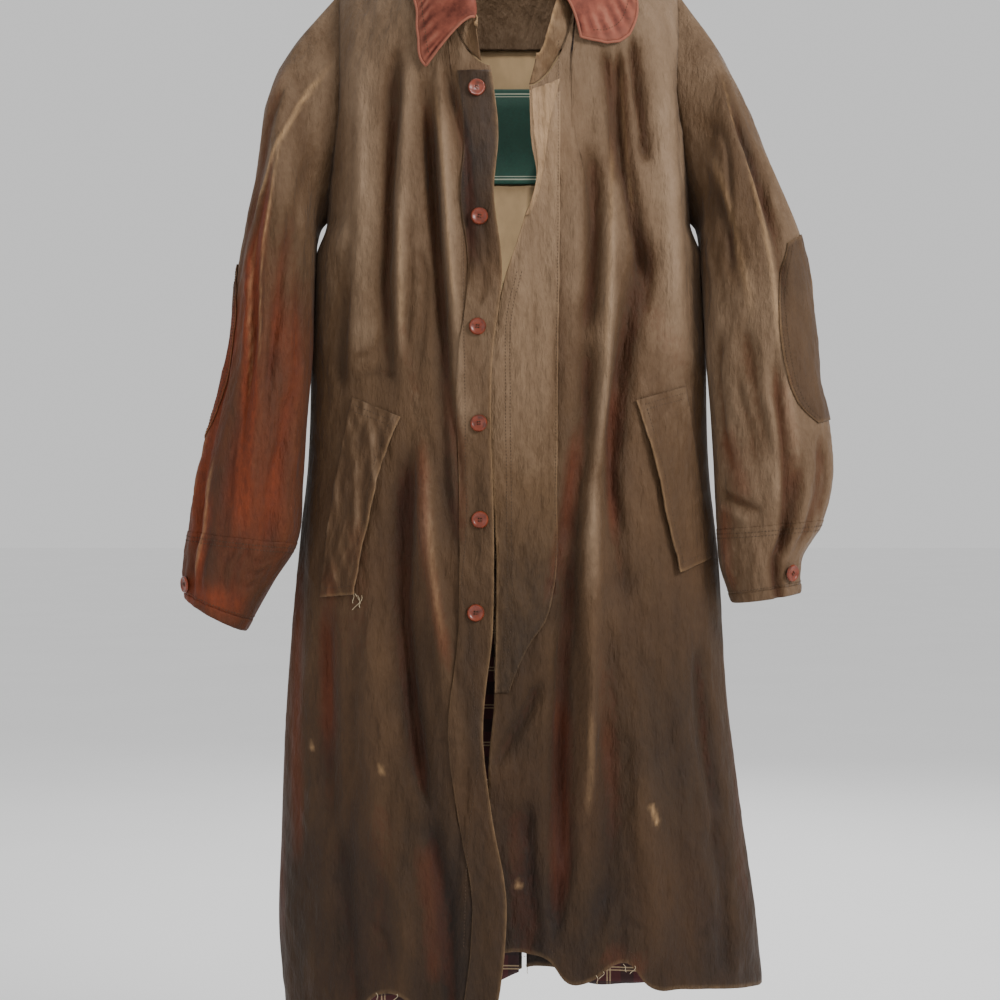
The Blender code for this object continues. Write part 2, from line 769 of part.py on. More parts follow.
def stand_place(u, v):
    """Map of the collar stand: u round the neck, v up from its seam."""
    t = STAND[0][0] + (STAND[-1][0] - STAND[0][0]) * np.clip(u, 0.0, 1.0)
    seam = neck_seam(t)
    reach = stand_vector(t)
    clear = neck_clear(t)
    bow = unit(np.stack([seam[:, 0], seam[:, 1] + 16.0, 0.0 * u], axis=-1))
    return seam + clear + reach * v[:, None] + bow * (2.0 * np.sin(math.pi * v))[:, None]


def fall_place(u, v):
    """Map of the leather fall: u round the neck, v out from the fold."""
    t = FALL[0][0] + (FALL[-1][0] - FALL[0][0]) * np.clip(u, 0.0, 1.0)
    top = neck_seam(t) + stand_vector(t) + neck_clear(t)
    x = curve(FALL, 1, t)
    drop = curve(FALL, 2, t)
    ridge = shoulder_drop(x)
    drop = np.maximum(drop, ridge)
    angle = angle_at(x, drop)

    lift = (FALL_LIFT + 4.0 * ease(1.0 - (drop - ridge) / 45.0))[:, None]

    def over(face):
        return body_point(face, angle, drop) + lift * body_normal(face, angle, drop)

    edge = np.where((t < 0.3)[:, None], over("right"), over("back"))
    edge = np.where((t > 0.7)[:, None], over("left"), edge)
    start = top + unit(stand_vector(t)) * (ROLL_GAP + LEATHER_WALL)
    after = neck_seam(t + 0.01) - neck_seam(t - 0.01)
    out = unit(np.stack([-after[:, 1], after[:, 0], 0.0 * t], axis=-1))
    flat = edge - start
    flat[:, 2] = 0.0
    bend = start + unit(unit(flat) * 0.6 + out) * FALL_REACH + np.array([0.0, 0.0, 2.0])
    v = v[:, None]
    return start * (1 - v) ** 2 + bend * 2 * v * (1 - v) + edge * v ** 2


def finish(name, mesh, material):
    """A named object from a bmesh that holds millimetres."""
    bmesh.ops.scale(mesh, vec=(MM, MM, MM), verts=mesh.verts)
    bmesh.ops.recalc_face_normals(mesh, faces=mesh.faces)
    data = bpy.data.meshes.new(name)
    mesh.to_mesh(data)
    mesh.free()
    data.shade_smooth()
    data.set_sharp_from_angle(angle=math.radians(50))
    data.materials.append(material)
    piece = bpy.data.objects.new(name, data)
    bpy.context.collection.objects.link(piece)
    return piece


def wall(name, material, columns, rows, place, thickness, normals, seam=None):
    """A cloth piece: a flat grid made double, then put in place.

    Where seam is given, it marks the edges that keep the given normals, and
    everywhere else the wall stands on the sheet's own.
    """
    mesh = bmesh.new()
    bmesh.ops.create_grid(mesh, x_segments=columns, y_segments=rows, size=0.5)
    bmesh.ops.translate(mesh, vec=(0.5, 0.5, 0.0), verts=mesh.verts)
    bmesh.ops.triangulate(mesh, faces=mesh.faces, quad_method="ALTERNATE")
    if seam:
        flat = np.array([vert.co[:] for vert in mesh.verts])
        u, v = flat[:, 0], flat[:, 1]
        for vert, spot in zip(mesh.verts, place(u, v)):
            vert.co = spot
        mesh.normal_update()
        own = np.array([vert.normal[:] for vert in mesh.verts])
        given = normals(u, v)
        own *= np.sign(np.sum(own * given, axis=1).mean())
        keep = seam(u, v)[:, None]
        chosen = np.where(keep, given, own)
        for vert, spot in zip(mesh.verts, flat):
            vert.co = spot
    everything = mesh.verts[:] + mesh.edges[:] + mesh.faces[:]
    grown = bmesh.ops.extrude_face_region(mesh, geom=everything, use_keep_orig=True)
    for item in grown["geom"]:
        if isinstance(item, bmesh.types.BMVert):
            item.co.z = 1.0
    flat = np.array([vert.co[:] for vert in mesh.verts])
    u, v, w = flat[:, 0], flat[:, 1], flat[:, 2]
    facing = np.concatenate([chosen, chosen]) if seam else normals(u, v)
    placed = place(u, v) - facing * (thickness * w)[:, None]
    for vert, spot in zip(mesh.verts, placed):
        vert.co = spot
    return finish(name, mesh, material)


def tube(name, material, around, rows, place, thickness):
    """A closed band of cloth: round the arm, down its outside and up its inside."""
    mesh = bmesh.new()
    bmesh.ops.create_grid(mesh, x_segments=around, y_segments=2 * rows + 2, size=0.5)
    bmesh.ops.translate(mesh, vec=(0.5, 0.5, 0.0), verts=mesh.verts)
    flat = np.array([vert.co[:] for vert in mesh.verts])
    u = flat[:, 0]
    step = np.rint(flat[:, 1] * (2 * rows + 2))
    outside = (step <= rows) | (step > 2 * rows + 1)
    level = np.where(step <= rows, step, 2 * rows + 1 - step)
    level = np.where(step > 2 * rows + 1, 0, level)
    v = np.clip(level / rows, 0.0, 1.0)
    skin = place(u, v)
    spokes = unit(np.cross(place(u + 0.002, v) - place(u - 0.002, v),
                           place(u, np.clip(v + 0.01, 0, 1)) - place(u, np.clip(v - 0.01, 0, 1))))
    middle = skin.mean(axis=0)
    if np.mean(np.sum(spokes * (skin - middle), axis=1)) < 0:
        spokes = -spokes
    placed = skin - spokes * np.where(outside, 0.0, thickness)[:, None]
    for vert, spot in zip(mesh.verts, placed):
        vert.co = spot
    bmesh.ops.remove_doubles(mesh, verts=mesh.verts, dist=0.001)
    return finish(name, mesh, material)


def button(name, material, centre, normal):
    """A turned button with a raised rim, its axis along the cloth's normal."""
    rim = BUTTON_RADIUS
    profile = (
        (0.0, 0.0), (rim - 1.0, 0.0), (rim, 1.2), (rim - 0.8, BUTTON_THICK),
        (rim - 2.4, BUTTON_THICK), (rim - 3.6, BUTTON_THICK - 1.0), (0.0, BUTTON_THICK - 1.0),
    )
    mesh = bmesh.new()
    spots = [mesh.verts.new((radius, 0.0, height)) for radius, height in profile]
    edges = [mesh.edges.new(pair) for pair in zip(spots, spots[1:])]
    bmesh.ops.spin(mesh, geom=spots + edges, axis=(0, 0, 1), cent=(0, 0, 0), steps=12,
                   angle=2 * math.pi, use_merge=True)
    bmesh.ops.remove_doubles(mesh, verts=mesh.verts, dist=0.001)
    turn = Vector((0, 0, 1)).rotation_difference(Vector(normal)).to_matrix().to_4x4()
    bmesh.ops.transform(mesh, matrix=Matrix.Translation(Vector(centre)) @ turn, verts=mesh.verts)
    return finish(name, mesh, material)


def material(name, colour, roughness):
    """A plain Principled material."""
    made = bpy.data.materials.new(name)
    made.use_nodes = True
    shader = made.node_tree.nodes["Principled BSDF"]
    shader.inputs["Base Color"].default_value = (*colour, 1.0)
    shader.inputs["Roughness"].default_value = roughness
    shader.inputs["Metallic"].default_value = 0.0
    made.diffuse_color = (*colour, 1.0)
    return made


def build_body(shell):
    """Both fronts and both back halves."""
    for face in ("right", "left"):
        place, normals, seam = panel(face, front_spot(face))
        wall("front_" + face, shell, 32, 18, place, SHELL_WALL, normals, seam)
    for face, side in (("right", -1.0), ("left", 1.0)):
        place, normals, seam = panel("back", back_spot(side))
        wall("back_" + face, shell, 18, 16, place, SHELL_WALL, normals, seam)


def build_sleeve(name, side, rings, folds, cuff_ring, shell):
    """Top and under sleeve, cuff and its bound edge."""
    stations = ring_stations(side, rings)
    seam = stations[cuff_ring]
    end = stations[-1]
    halves = (
        ("top", FRONT_SEAM, UNDER_SEAM),
        ("under", UNDER_SEAM, FRONT_SEAM + 360.0),
    )
    for half, first, last in halves:
        turn_range = (first + SEAM_TURN, last - SEAM_TURN)
        place = sleeve_place(side, rings, folds, turn_range, (0.0, seam - 0.7))
        normals = sleeve_normals(place, -side, turn_range, side)
        wall("sleeve_" + name + "_" + half, shell, 10, 12, place, SHELL_WALL, normals)
    place = sleeve_place(side, rings, folds, (0.0, 360.0), (seam + 0.2, end - BINDING), 0.7)
    tube("cuff_" + name, shell, 20, 2, place, CUFF_WALL)
    place = sleeve_place(side, rings, folds, (0.0, 360.0), (end - BINDING + SEAM_GAP, end), 1.2)
    tube("cuff_binding_" + name, shell, 20, 1, place, CUFF_WALL)


def build_patch(name, side, rings, folds, table, shell):
    """Elbow patch on the outer side of a sleeve."""

    def place(u, v):
        first = curve(table, 2, v)
        last = curve(table, 3, v)
        theta = np.radians(first + (last - first) * u)
        return sleeve_point(side, rings, folds, theta, curve(table, 1, v), PATCH_GAP + PATCH_WALL)

    def normals(u, v):
        return outward(place, u, v, -side)

    wall("elbow_patch_" + name, shell, 6, 6, place, PATCH_WALL, normals)


def build_flap(name, face, table, turn, seat, shell):
    """Pocket flap that hangs from its sewn top and side."""

    def corners(u, v):
        x = curve(table, 1, v) + (curve(table, 3, v) - curve(table, 1, v)) * u
        drop = curve(table, 2, v) + (curve(table, 4, v) - curve(table, 2, v)) * u
        return x, drop

    def lift(u, v):
        return FLAP_LIFT * (1.0 - u) ** 2 * ease(v / 0.3)

    place = lay_on(face, corners, seat + FLAP_WALL, lift)

    def normals(u, v):
        return outward(place, u, v, turn)

    wall("pocket_flap_" + name, shell, 5, 6, place, FLAP_WALL, normals)


def build_front_trim(shell):
    """Button strip, fly placket and turned-back facing."""

    def strip(u, v):
        drop = STRIP_TOP + (STRIP_END - STRIP_TOP) * v
        x = curve(RIGHT_EDGE, 1, drop) - 0.4 - STRIP_WIDTH * (1.0 - u)
        return x, drop

    def fly(u, v):
        edge_drop = LEFT_EDGE[0][0] + 6.0
        drop = edge_drop + (FLY_SEAM[-1][0] - edge_drop) * v
        edge = curve(LEFT_EDGE, 1, drop) + 0.4
        return edge + (curve(FLY_SEAM, 1, drop) - edge) * (1.0 - u), drop

    def facing(u, v):
        first, last = FACING_EDGE[0][0], FACING_EDGE[-1][0]
        drop = first + (last - first) * v
        inner = curve(FACING_EDGE, 1, drop)
        across = inner + (curve(FACING_EDGE, 2, drop) - inner) * (1.0 - u)
        return across, drop - FACING_SLANT * (1.0 - u) * (1.0 - v)

    base = TRIM_GAP + STRIP_WALL
    layers = (
        ("button_strip", "right", strip, base, -1.0, 3, 20),
        ("fly_placket", "left", fly, base, 1.0, 5, 14),
        ("front_facing_left", "left", facing, 2 * base, 1.0, 3, 6),
    )
    for name, face, corners, raised, turn, columns, rows in layers:
        place = lay_on(face, corners, raised)

        def normals(u, v, place=place, turn=turn):
            return outward(place, u, v, turn)

        wall(name, shell, columns, rows, place, STRIP_WALL, normals)


def build_collar(shell, leather):
    """Stand in shell cloth and fall in leather."""

    def stand_normals(u, v):
        return outward(stand_place, u, v, -1.0)

    def fall_normals(u, v):
        return outward(fall_place, u, v, 1.0)

    wall("collar_stand", shell, 40, 2, stand_place, STAND_WALL, stand_normals)
    wall("collar_leather", leather, 36, 5, fall_place, LEATHER_WALL, fall_normals)


def build_inside(shell, tan, check, green):
    """Neck facing, linings and label on the inner side of the back."""
    depth = SHELL_WALL + SEAM_GAP
    edge_trim = 4.0

    def across(low, high, top, bottom):
        def corners(u, v):
            return low + (high - low) * u, top + (bottom - top) * v
        return corners

    def hang(drop):
        return -LINING_HANG * ease((drop - FACING_DROP - 8.0) / 260.0)

    def tuck(u, v):
        return -FACING_HANG * ease(v / 0.25)

    def free(u, v):
        return -FACING_HANG

    yoke = across(-150.0, 150.0, FACING_DROP + SEAM_GAP, YOKE_DROP)
    label = across(LABEL_BOX[0], LABEL_BOX[2], LABEL_BOX[1], LABEL_BOX[3])

    def facing_corners(u, v):
        x = (2.0 * u - 1.0) * (NECK_HALF - 4.0)
        upper = back_neckline_drop(x) + 4.0
        return x, upper + (FACING_DROP - upper) * v

    def half_corners(side):
        def corners(u, v):
            top = YOKE_DROP + SEAM_GAP
            inner_gap = VENT_FACING if side > 0 else edge_trim
            rough = top + (1225.0 - top) * v
            inner = vent_edge(rough, side) + side * inner_gap
            outer = side * 0.80 * half_width(np.full_like(u, side), rough)
            x = outer + (inner - outer) * u
            drop = top + (curve(BACK_HEM, 1, x) - 3.0 - top) * v
            return x, drop
        return corners

    layers = (
        ("neck_facing", shell, facing_corners, depth + 1.2, tuck, LINING_WALL, 12, 5),
        ("yoke_lining", tan, yoke, depth, free, LINING_WALL, 12, 6),
        ("lining_right", check, half_corners(-1.0), depth, free, LINING_WALL, 10, 9),
        ("lining_left", check, half_corners(1.0), depth, free, LINING_WALL, 10, 9),
        ("label", green, label, depth + LINING_WALL + TRIM_GAP, free, LABEL_WALL, 4, 4),
    )
    for name, cloth, corners, inward, lift, thickness, columns, rows in layers:
        place = lay_on("inside", corners, -inward, lift, hang)

        def normals(u, v, place=place):
            found = outward(place, u, v, 1.0)
            return found * np.where(found[:, 1:2] < 0, -1.0, 1.0)

        wall(name, cloth, columns, rows, place, thickness, normals)


def build_buttons(horn):
    """Six front buttons and one on each cuff."""
    seat = TRIM_GAP + SEAM_GAP + STRIP_WALL
    for number, (x, drop) in enumerate(BUTTONS, start=1):
        drops = np.array([float(drop)])
        angle = angle_at(np.array([float(x)]), drops)
        normal = body_normal("right", angle, drops)[0]
        button("button_%d" % number, horn, body_point("right", angle, drops)[0] + seat * normal, normal)
    cuffs = (
        ("right", -1.0, RIGHT_RINGS, RIGHT_SLEEVE_FOLDS, 150.0, 0.5),
        ("left", 1.0, LEFT_RINGS, LEFT_SLEEVE_FOLDS, 128.0, 2.0),
    )
    for name, side, rings, folds, degrees, raised in cuffs:
        along = ring_stations(side, rings)[-1] - 26.0
        theta = np.radians(np.array([degrees - 5, degrees + 5, degrees, degrees, degrees]))
        alongs = np.array([along, along, along - 6.0, along + 6.0, along])
        spots = sleeve_point(side, rings, folds, theta, alongs, raised)
        normal = unit(np.cross(spots[1] - spots[0], spots[3] - spots[2]))
        if np.dot(normal, spots[4] - np.array([side * 300.0, -60.0, spots[4][2]])) < 0:
            normal = -normal
        button("cuff_button_" + name, horn, spots[4], normal)


def main():
    for old in list(bpy.data.objects):
        bpy.data.objects.remove(old, do_unlink=True)
    shell = material("waxed_cotton", OLIVE, 0.62)
    dark = material("waxed_cotton_dark", OLIVE_DARK, 0.6)
    leather = material("collar_hide", LEATHER, 0.5)
    tan = material("tan_lining", TAN, 0.85)
    check = material("check_lining", CHECK, 0.9)
    green = material("label_weave", GREEN, 0.8)
    horn = material("button_horn", HORN, 0.35)
    build_body(shell)
    build_sleeve("right", -1.0, RIGHT_RINGS, RIGHT_SLEEVE_FOLDS, RIGHT_CUFF_RING, shell)
    build_sleeve("left", 1.0, LEFT_RINGS, LEFT_SLEEVE_FOLDS, LEFT_CUFF_RING, shell)
    build_patch("right", -1.0, RIGHT_RINGS, RIGHT_SLEEVE_FOLDS, RIGHT_PATCH, dark)
    build_patch("left", 1.0, LEFT_RINGS, LEFT_SLEEVE_FOLDS, LEFT_PATCH, dark)
    build_flap("right", "right", RIGHT_FLAP, -1.0, RIGHT_FLAP_SEAT, shell)
    build_flap("left", "left", LEFT_FLAP, 1.0, LEFT_FLAP_SEAT, shell)
    build_front_trim(shell)
    build_collar(shell, leather)
    build_inside(shell, tan, check, green)
    build_buttons(horn)


main()
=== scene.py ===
"""Looks of the waxed cotton duster coat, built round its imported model.

Each cloth piece of the model is stood for by a finer one on the same form,
with creases, stitching, rust-brown streaks, worn edges and linings.
Tables are in millimetres: X runs to the wearer's left, a drop is measured down
from the point between the shoulders, and the front faces -Y.
"""

import math

import bmesh
import bpy
import numpy as np
from bpy.props import FloatProperty, FloatVectorProperty, PointerProperty
from mathutils import Matrix, Vector


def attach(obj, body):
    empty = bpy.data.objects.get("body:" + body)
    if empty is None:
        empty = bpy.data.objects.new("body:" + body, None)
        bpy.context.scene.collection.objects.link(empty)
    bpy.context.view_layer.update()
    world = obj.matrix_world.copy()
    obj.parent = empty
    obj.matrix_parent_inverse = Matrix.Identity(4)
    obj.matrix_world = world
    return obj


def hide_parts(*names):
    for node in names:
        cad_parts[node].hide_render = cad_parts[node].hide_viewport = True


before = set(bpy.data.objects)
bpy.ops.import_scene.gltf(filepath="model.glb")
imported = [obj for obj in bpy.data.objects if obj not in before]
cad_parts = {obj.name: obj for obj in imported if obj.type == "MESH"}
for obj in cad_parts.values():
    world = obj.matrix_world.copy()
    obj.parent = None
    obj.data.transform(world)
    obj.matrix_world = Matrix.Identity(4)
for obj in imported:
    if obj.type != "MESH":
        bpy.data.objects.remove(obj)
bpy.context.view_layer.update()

bl_info = {
    "name": "Duster coat",
    "version": (1, 0, 0),
    "blender": (4, 5, 0),
    "location": "View3D > Sidebar > Coat",
    "description": "Dresses a duster coat in worn waxed cotton, leather and lining",
    "category": "Object",
}

MM = 0.001

# Camera and floor, metres
CAMERA_PLACE = (-0.010, -2.10, -0.636)
CAMERA_LENS = 64.29
FLOOR_DROP = 1.50

# Real sizes of the small spots in the finishes, metres: the finest are drawn coarse, to show
CLOTH_SPOT = 0.006
HIDE_PATCH = 0.035
TAN_PATCH = 0.05
NAP_SPOT = 0.004
LABEL_SPOT = 0.003
HORN_CLOUD = 0.007
THREAD_TWIST = 0.002
FLOOR_CLOUD = 0.6

# Cloth and trim, mm
SHELL_WALL = 1.6
LEATHER_WALL = 1.8
STAND_WALL = 2.0
FLAP_WALL = 1.8
STRIP_WALL = 1.2
SEAM_GAP = 0.3
TRIM_GAP = 0.8
PATCH_GAP = 1.6
FACING_HANG = 4.0

# Cut of the body, mm
NECK_HALF = 87.0
SHOULDER_HALF = 198.0
NECK_RISE = 32.0
SHOULDER_FALL = 72.0
SHOULDER_CURVE = 1.5
UNDERARM_DROP = 310.0
NAPE_DIP = 15.0
FRONT_DOME = 130.0
BACK_DOME = 100.0
SECTION_POWER = 2.6
NECK_POWER = 1.8
RIGHT_NECK_END = 0.3
LEFT_NECK_START = 0.7
FRONT_SCYE = 27.0
BACK_SCYE = 24.0
LAP_LIFT = 6.0
LAP_START = 110.0
LAP_RUN = 60.0
FINEST_FOLD = 9.5
COLUMN_LEAN = 0.4
LEVEL_DROP = 330.0
LEVEL_SHARE = 0.36
VENT_TOP = 700.0
VENT_OPEN = 2.5
SIDE_FULL = 12.0
FULL_START = 312.0
FULL_RUN = 45.0
FULL_END = 640.0
FULL_FADE = 200.0
SHOULDER_CALM = 25.0
EDGE_RUN = 20.0

BUTTON_RADIUS = 9.6
BUTTON_THICK = 3.4

# Half girths of the body at each drop, mm
SECTION = (
    # drop, right, left, front, back
    (-45, 198, 198, 92, 84),
    (40, 198, 198, 92, 84),
    (110, 203, 203, 97, 88),
    (310, 212, 212, 104, 92),
    (500, 222, 222, 108, 98),
    (712, 248, 246, 113, 104),
    (870, 261, 257, 117, 109),
    (1024, 267, 277, 121, 113),
    (1150, 269, 294, 124, 117),
    (1225, 260, 298, 125, 119),
    (1265, 254, 298, 125, 119),
)

# Free edge of each front, mm
RIGHT_EDGE = (
    # drop, x
    (150, -21), (226, -12), (290, -17), (380, -8), (470, -18), (700, -17),
    (775, -18), (900, -29), (980, -20), (1084, -3), (1134, -5), (1205, -14),
)
LEFT_EDGE = (
    # drop, x
    (172, 23), (240, 26), (272, 31), (322, 17), (394, -6), (453, -18),
    (600, -19), (703, -14), (775, -14.5), (863, -16.5), (920, -22), (1000, -24), (1150, -20),
)

# Hem drop across each panel, mm
RIGHT_HEM = (
    # x, drop
    (-270, 1222), (-220, 1216), (-170, 1207), (-146, 1186), (-122, 1184), (-98, 1204),
    (-60, 1212), (0, 1203),
)
LEFT_HEM = (
    # x, drop
    (-30, 1138), (20, 1140), (48, 1150), (60, 1167), (84, 1172), (97, 1166), (119, 1151),
    (137, 1153), (150, 1171), (200, 1182), (240, 1186), (298, 1194),
)
BACK_HEM = (
    # x, drop
    (-270, 1222), (-210, 1240), (-140, 1258), (-60, 1252), (-10, 1230), (20, 1217),
    (55, 1216), (105, 1233), (150, 1231), (220, 1222), (298, 1194),
)

# Folds of the right front, mm: a ridge has a positive height, a trough a negative one
RIGHT_FOLDS = (
    # drops at top, middle, end; x at top, middle, end; height; width left, right
    (105, 320, 540, -130, -136, -134, -9, 10, 8),
    (110, 330, 520, -109, -124, -127, 5, 8, 8),
    (135, 390, 740, -92, -79, -54, -13, 7, 9),
    (150, 400, 720, -80, -66, -52, 6, 6, 9),
    (140, 244, 400, -72, -49, -36, -8, 8, 7),
    (90, 300, 520, -168, -168, -176, 6, 20, 20),
    (330, 420, 520, -184, -187, -193, -5, 6, 6),
    (560, 770, 990, -114, -117, -90, -14, 13, 6),
    (570, 750, 930, -96, -82, -54, 7, 9, 10),
    (750, 880, 1020, -206, -209, -200, -7, 13, 13),
    (740, 900, 1070, -154, -150, -140, 7, 18, 18),
    (980, 1080, 1240, -90, -72, -60, -9, 10, 10),
    (990, 1090, 1240, -194, -184, -168, -7, 12, 12),
    (1030, 1120, 1240, -122, -116, -133, 9, 17, 17),
    (700, 850, 990, -52, -42, -30, -5, 5, 8),
)

# Folds of the left front, mm
LEFT_FOLDS = (
    # drops at top, middle, end; x at top, middle, end; height; width left, right
    (118, 200, 290, 106, 118, 121, -8, 7, 7),
    (112, 240, 400, 125, 131, 160, -10, 6, 6),
    (100, 190, 265, 141, 150, 159, -8, 6, 6),
    (330, 460, 600, 160, 133, 116, -13, 15, 12),
    (230, 350, 460, 96, 97, 87, -9, 10, 10),
    (440, 600, 700, 92, 80, 64, -8, 10, 10),
    (290, 470, 610, 112, 109, 99, 8, 8, 8),
    (590, 800, 1010, 94, 93, 80, 11, 10, 10),
    (650, 860, 1150, 72, 59, 52, -13, 9, 10),
    (545, 670, 760, 118, 120, 134, -8, 11, 11),
    (790, 920, 1010, 214, 224, 246, -6, 10, 10),
    (985, 1040, 1180, 232, 240, 246, -5, 8, 8),
    (920, 1040, 1170, 146, 157, 163, 7, 22, 22),
    (860, 990, 1120, 107, 115, 101, -6, 12, 12),
    (830, 890, 945, 38, 10, -18, -4, 8, 6),
    (140, 320, 505, 178, 183, 190, 6, 18, 18),
    (955, 1060, 1190, 10, 14, 20, -9, 26, 22),
)

# Folds of the back, mm, similar to those of the fronts
BACK_FOLDS = (
    # drops at top, middle, end; x at top, middle, end; height; width left, right
    (150, 420, 760, -70, -84, -98, -11, 10, 12),
    (170, 430, 700, -46, -56, -66, 7, 12, 12),
    (130, 340, 560, -128, -140, -150, -9, 10, 10),
    (220, 520, 900, -22, -30, -40, -8, 11, 11),
    (140, 380, 700, 66, 74, 88, -12, 10, 10),
    (180, 400, 650, 92, 104, 118, 7, 12, 12),
    (130, 330, 580, 138, 146, 158, -9, 10, 11),
    (560, 860, 1250, -128, -136, -150, -12, 14, 12),
    (620, 900, 1250, -92, -100, -106, 10, 18, 18),
    (760, 980, 1250, -58, -62, -58, -10, 13, 13),
    (600, 880, 1250, 112, 126, 140, -13, 13, 14),
    (680, 940, 1250, 72, 80, 84, 9, 17, 17),
    (740, 960, 1250, 176, 190, 206, -9, 14, 14),
    (700, 960, 1250, -196, -206, -216, -8, 14, 14),
)

# Folds at the side seams: angle round the body from the wearer's left side
SIDE_FOLDS = (
    # drops at top, end; degrees at top, end; height, width in degrees
    (420, 900, 196, 200, -5, 5),
    (640, 1250, 173, 170, -6, 5),
    (430, 880, 345, 342, -5, 5),
    (700, 1250, 6, 8, -6, 5),
)

# Rings of the sleeves below the armhole: outer and inner ends, half depth and middle, mm
RIGHT_RINGS = (
    # outer x, outer drop, inner x, inner drop, half depth, y
    (-252, 108, -220, 322, 55, -10),
    (-272, 150, -222, 336, 57, -24),
    (-292, 268, -223, 366, 57, -38),
    (-309, 360, -224, 412, 56, -46),
    (-318, 452, -225, 472, 55, -51),
    (-338, 544, -231, 546, 55, -55),
    (-356, 613, -235, 614, 55, -58),
    (-366, 674, -243, 688, 53, -60),
    (-370, 712, -268, 728, 50, -62),
    (-367, 748, -300, 785, 44, -62),
)
LEFT_RINGS = (
    # outer x, outer drop, inner x, inner drop, half depth, y
    (240, 104, 220, 322, 55, -10),
    (262, 150, 221, 336, 58, -24),
    (301, 248, 222, 366, 59, -37),
    (334, 332, 224, 412, 59, -46),
    (348, 418, 226, 470, 59, -51),
    (355, 498, 231, 535, 59, -55),
    (367, 556, 234, 590, 59, -58),
    (369, 613, 236, 636, 57, -60),
    (357, 662, 238, 672, 53, -61),
    (334, 700, 242, 712, 48, -62),
    (331, 741, 256, 753, 43, -62),
)
RIGHT_CUFF_RING = 8
LEFT_CUFF_RING = 9
BINDING = 11.0

# Folds along the sleeves: 0 degrees faces the body, 90 the front, 180 outwards
RIGHT_SLEEVE_FOLDS = (
    # start and end along the sleeve, degrees there, height, width in degrees
    (40, 260, 128, 158, -5, 9),
    (90, 420, 70, 84, -6, 9),
    (180, 560, 112, 104, -7, 8),
    (440, 640, 142, 134, -5, 8),
    (330, 560, 48, 56, -6, 9),
    (60, 480, 262, 268, -7, 10),
    (450, 650, 236, 226, -6, 10),
    (120, 420, 300, 306, -5, 10),
)
LEFT_SLEEVE_FOLDS = (
    # start and end along the sleeve, degrees there, height, width in degrees
    (40, 240, 60, 74, -5, 9),
    (40, 230, 128, 118, -6, 9),
    (250, 470, 66, 76, -6, 9),
    (420, 640, 104, 102, -10, 8),
    (400, 560, 140, 128, -6, 8),
    (60, 480, 262, 268, -7, 10),
    (450, 650, 236, 226, -6, 10),
    (120, 420, 300, 306, -5, 10),
)

# Collar stand: top edge from the neck seam, mm, along the neck from right front to left front
STAND = (
    # place along the neck, x, y, up
    (0.014, -7, -8, 42),
    (0.05, 12, -10, 36),
    (0.09, 18, -10, 34),
    (0.15, 18, -6, 31),
    (0.22, 16, -2, 32),
    (0.30, 14, 0, 33),
    (0.50, 0, -4, 35),
    (0.70, -12, 0, 33),
    (0.80, -14, -6, 32),
    (0.86, -13, -9, 27),
    (0.90, -16, -9, 22),
    (0.95, -9, -9, 28),
    (1.00, 8, -7, 34),
)

# Leather fall: where its outer edge lies on the coat, mm
FALL = (
    # place along the neck, x, drop
    (0.016, -92, 149),
    (0.04, -97, 143),
    (0.08, -101, 112),
    (0.15, -104, 80),
    (0.22, -114, 42),
    (0.30, -132, 7.2),
    (0.40, -88, 38),
    (0.50, 0, 46),
    (0.60, 90, 38),
    (0.66, 122, 20),
    (0.70, 136, 9.0),
    (0.745, 143, 45),
    (0.79, 142, 92),
    (0.835, 123, 118),
    (0.865, 99, 121),
    (0.885, 80, 117),
)
NECK_CLEAR = 2.0
FALL_REACH = 20.0
FALL_LIFT = 5.5
ROLL_GAP = 2.8

# Fly placket's stitched edge on the left front, mm
FLY_SEAM = (
    # drop, x
    (120, 58), (400, 56), (636, 53), (735, 50), (772, 40), (795, 24), (825, 9), (850, 0),
)
# Turned-back facing at the top of the left front, mm
FACING_EDGE = (
    # drop, inner x, outer x
    (177, 26, 58), (196, 26, 52), (224, 28, 45), (270, 32, 38.5), (300, 25, 31), (318, 19, 23),
)
FACING_SLANT = 13.0
STRIP_WIDTH = 38.0
STRIP_TOP = 156.0
STRIP_END = 1190.0

# Pocket flaps: free edge and side edge, mm
RIGHT_FLAP = (
    # share down, free x, free drop, side x, side drop
    (0.00, -121, 543, -176, 520),
    (0.25, -140, 590, -188, 574),
    (0.50, -152, 640, -198, 630),
    (0.75, -163, 690, -207, 688),
    (1.00, -172, 742, -213, 746),
)
LEFT_FLAP = (
    # share down, free x, free drop, side x, side drop
    (0.00, 143, 524, 200, 507),
    (0.25, 156, 572, 208, 556),
    (0.50, 168, 620, 216, 606),
    (0.75, 178, 670, 223, 655),
    (1.00, 191, 718, 230, 702),
)
FLAP_LIFT = 4.0
FLAPS = {
    # edges, seat, ripple, seed, flat cut and its area in metres
    "right": (RIGHT_FLAP, -0.9, 1.7, 41, (0.060, 0.25), 0.0130),
    "left": (LEFT_FLAP, 0.0, 0.35, 42, (0.061, 0.21), 0.0126),
}
FLAP_STITCHES = (
    # first u and v, last u and v, points
    (0.06, 0.035, 0.96, 0.035, 12),
    (0.06, 0.065, 0.96, 0.065, 12),
    (0.15, 0.06, 0.15, 0.96, 20),
    (0.10, 0.955, 0.96, 0.955, 12),
)

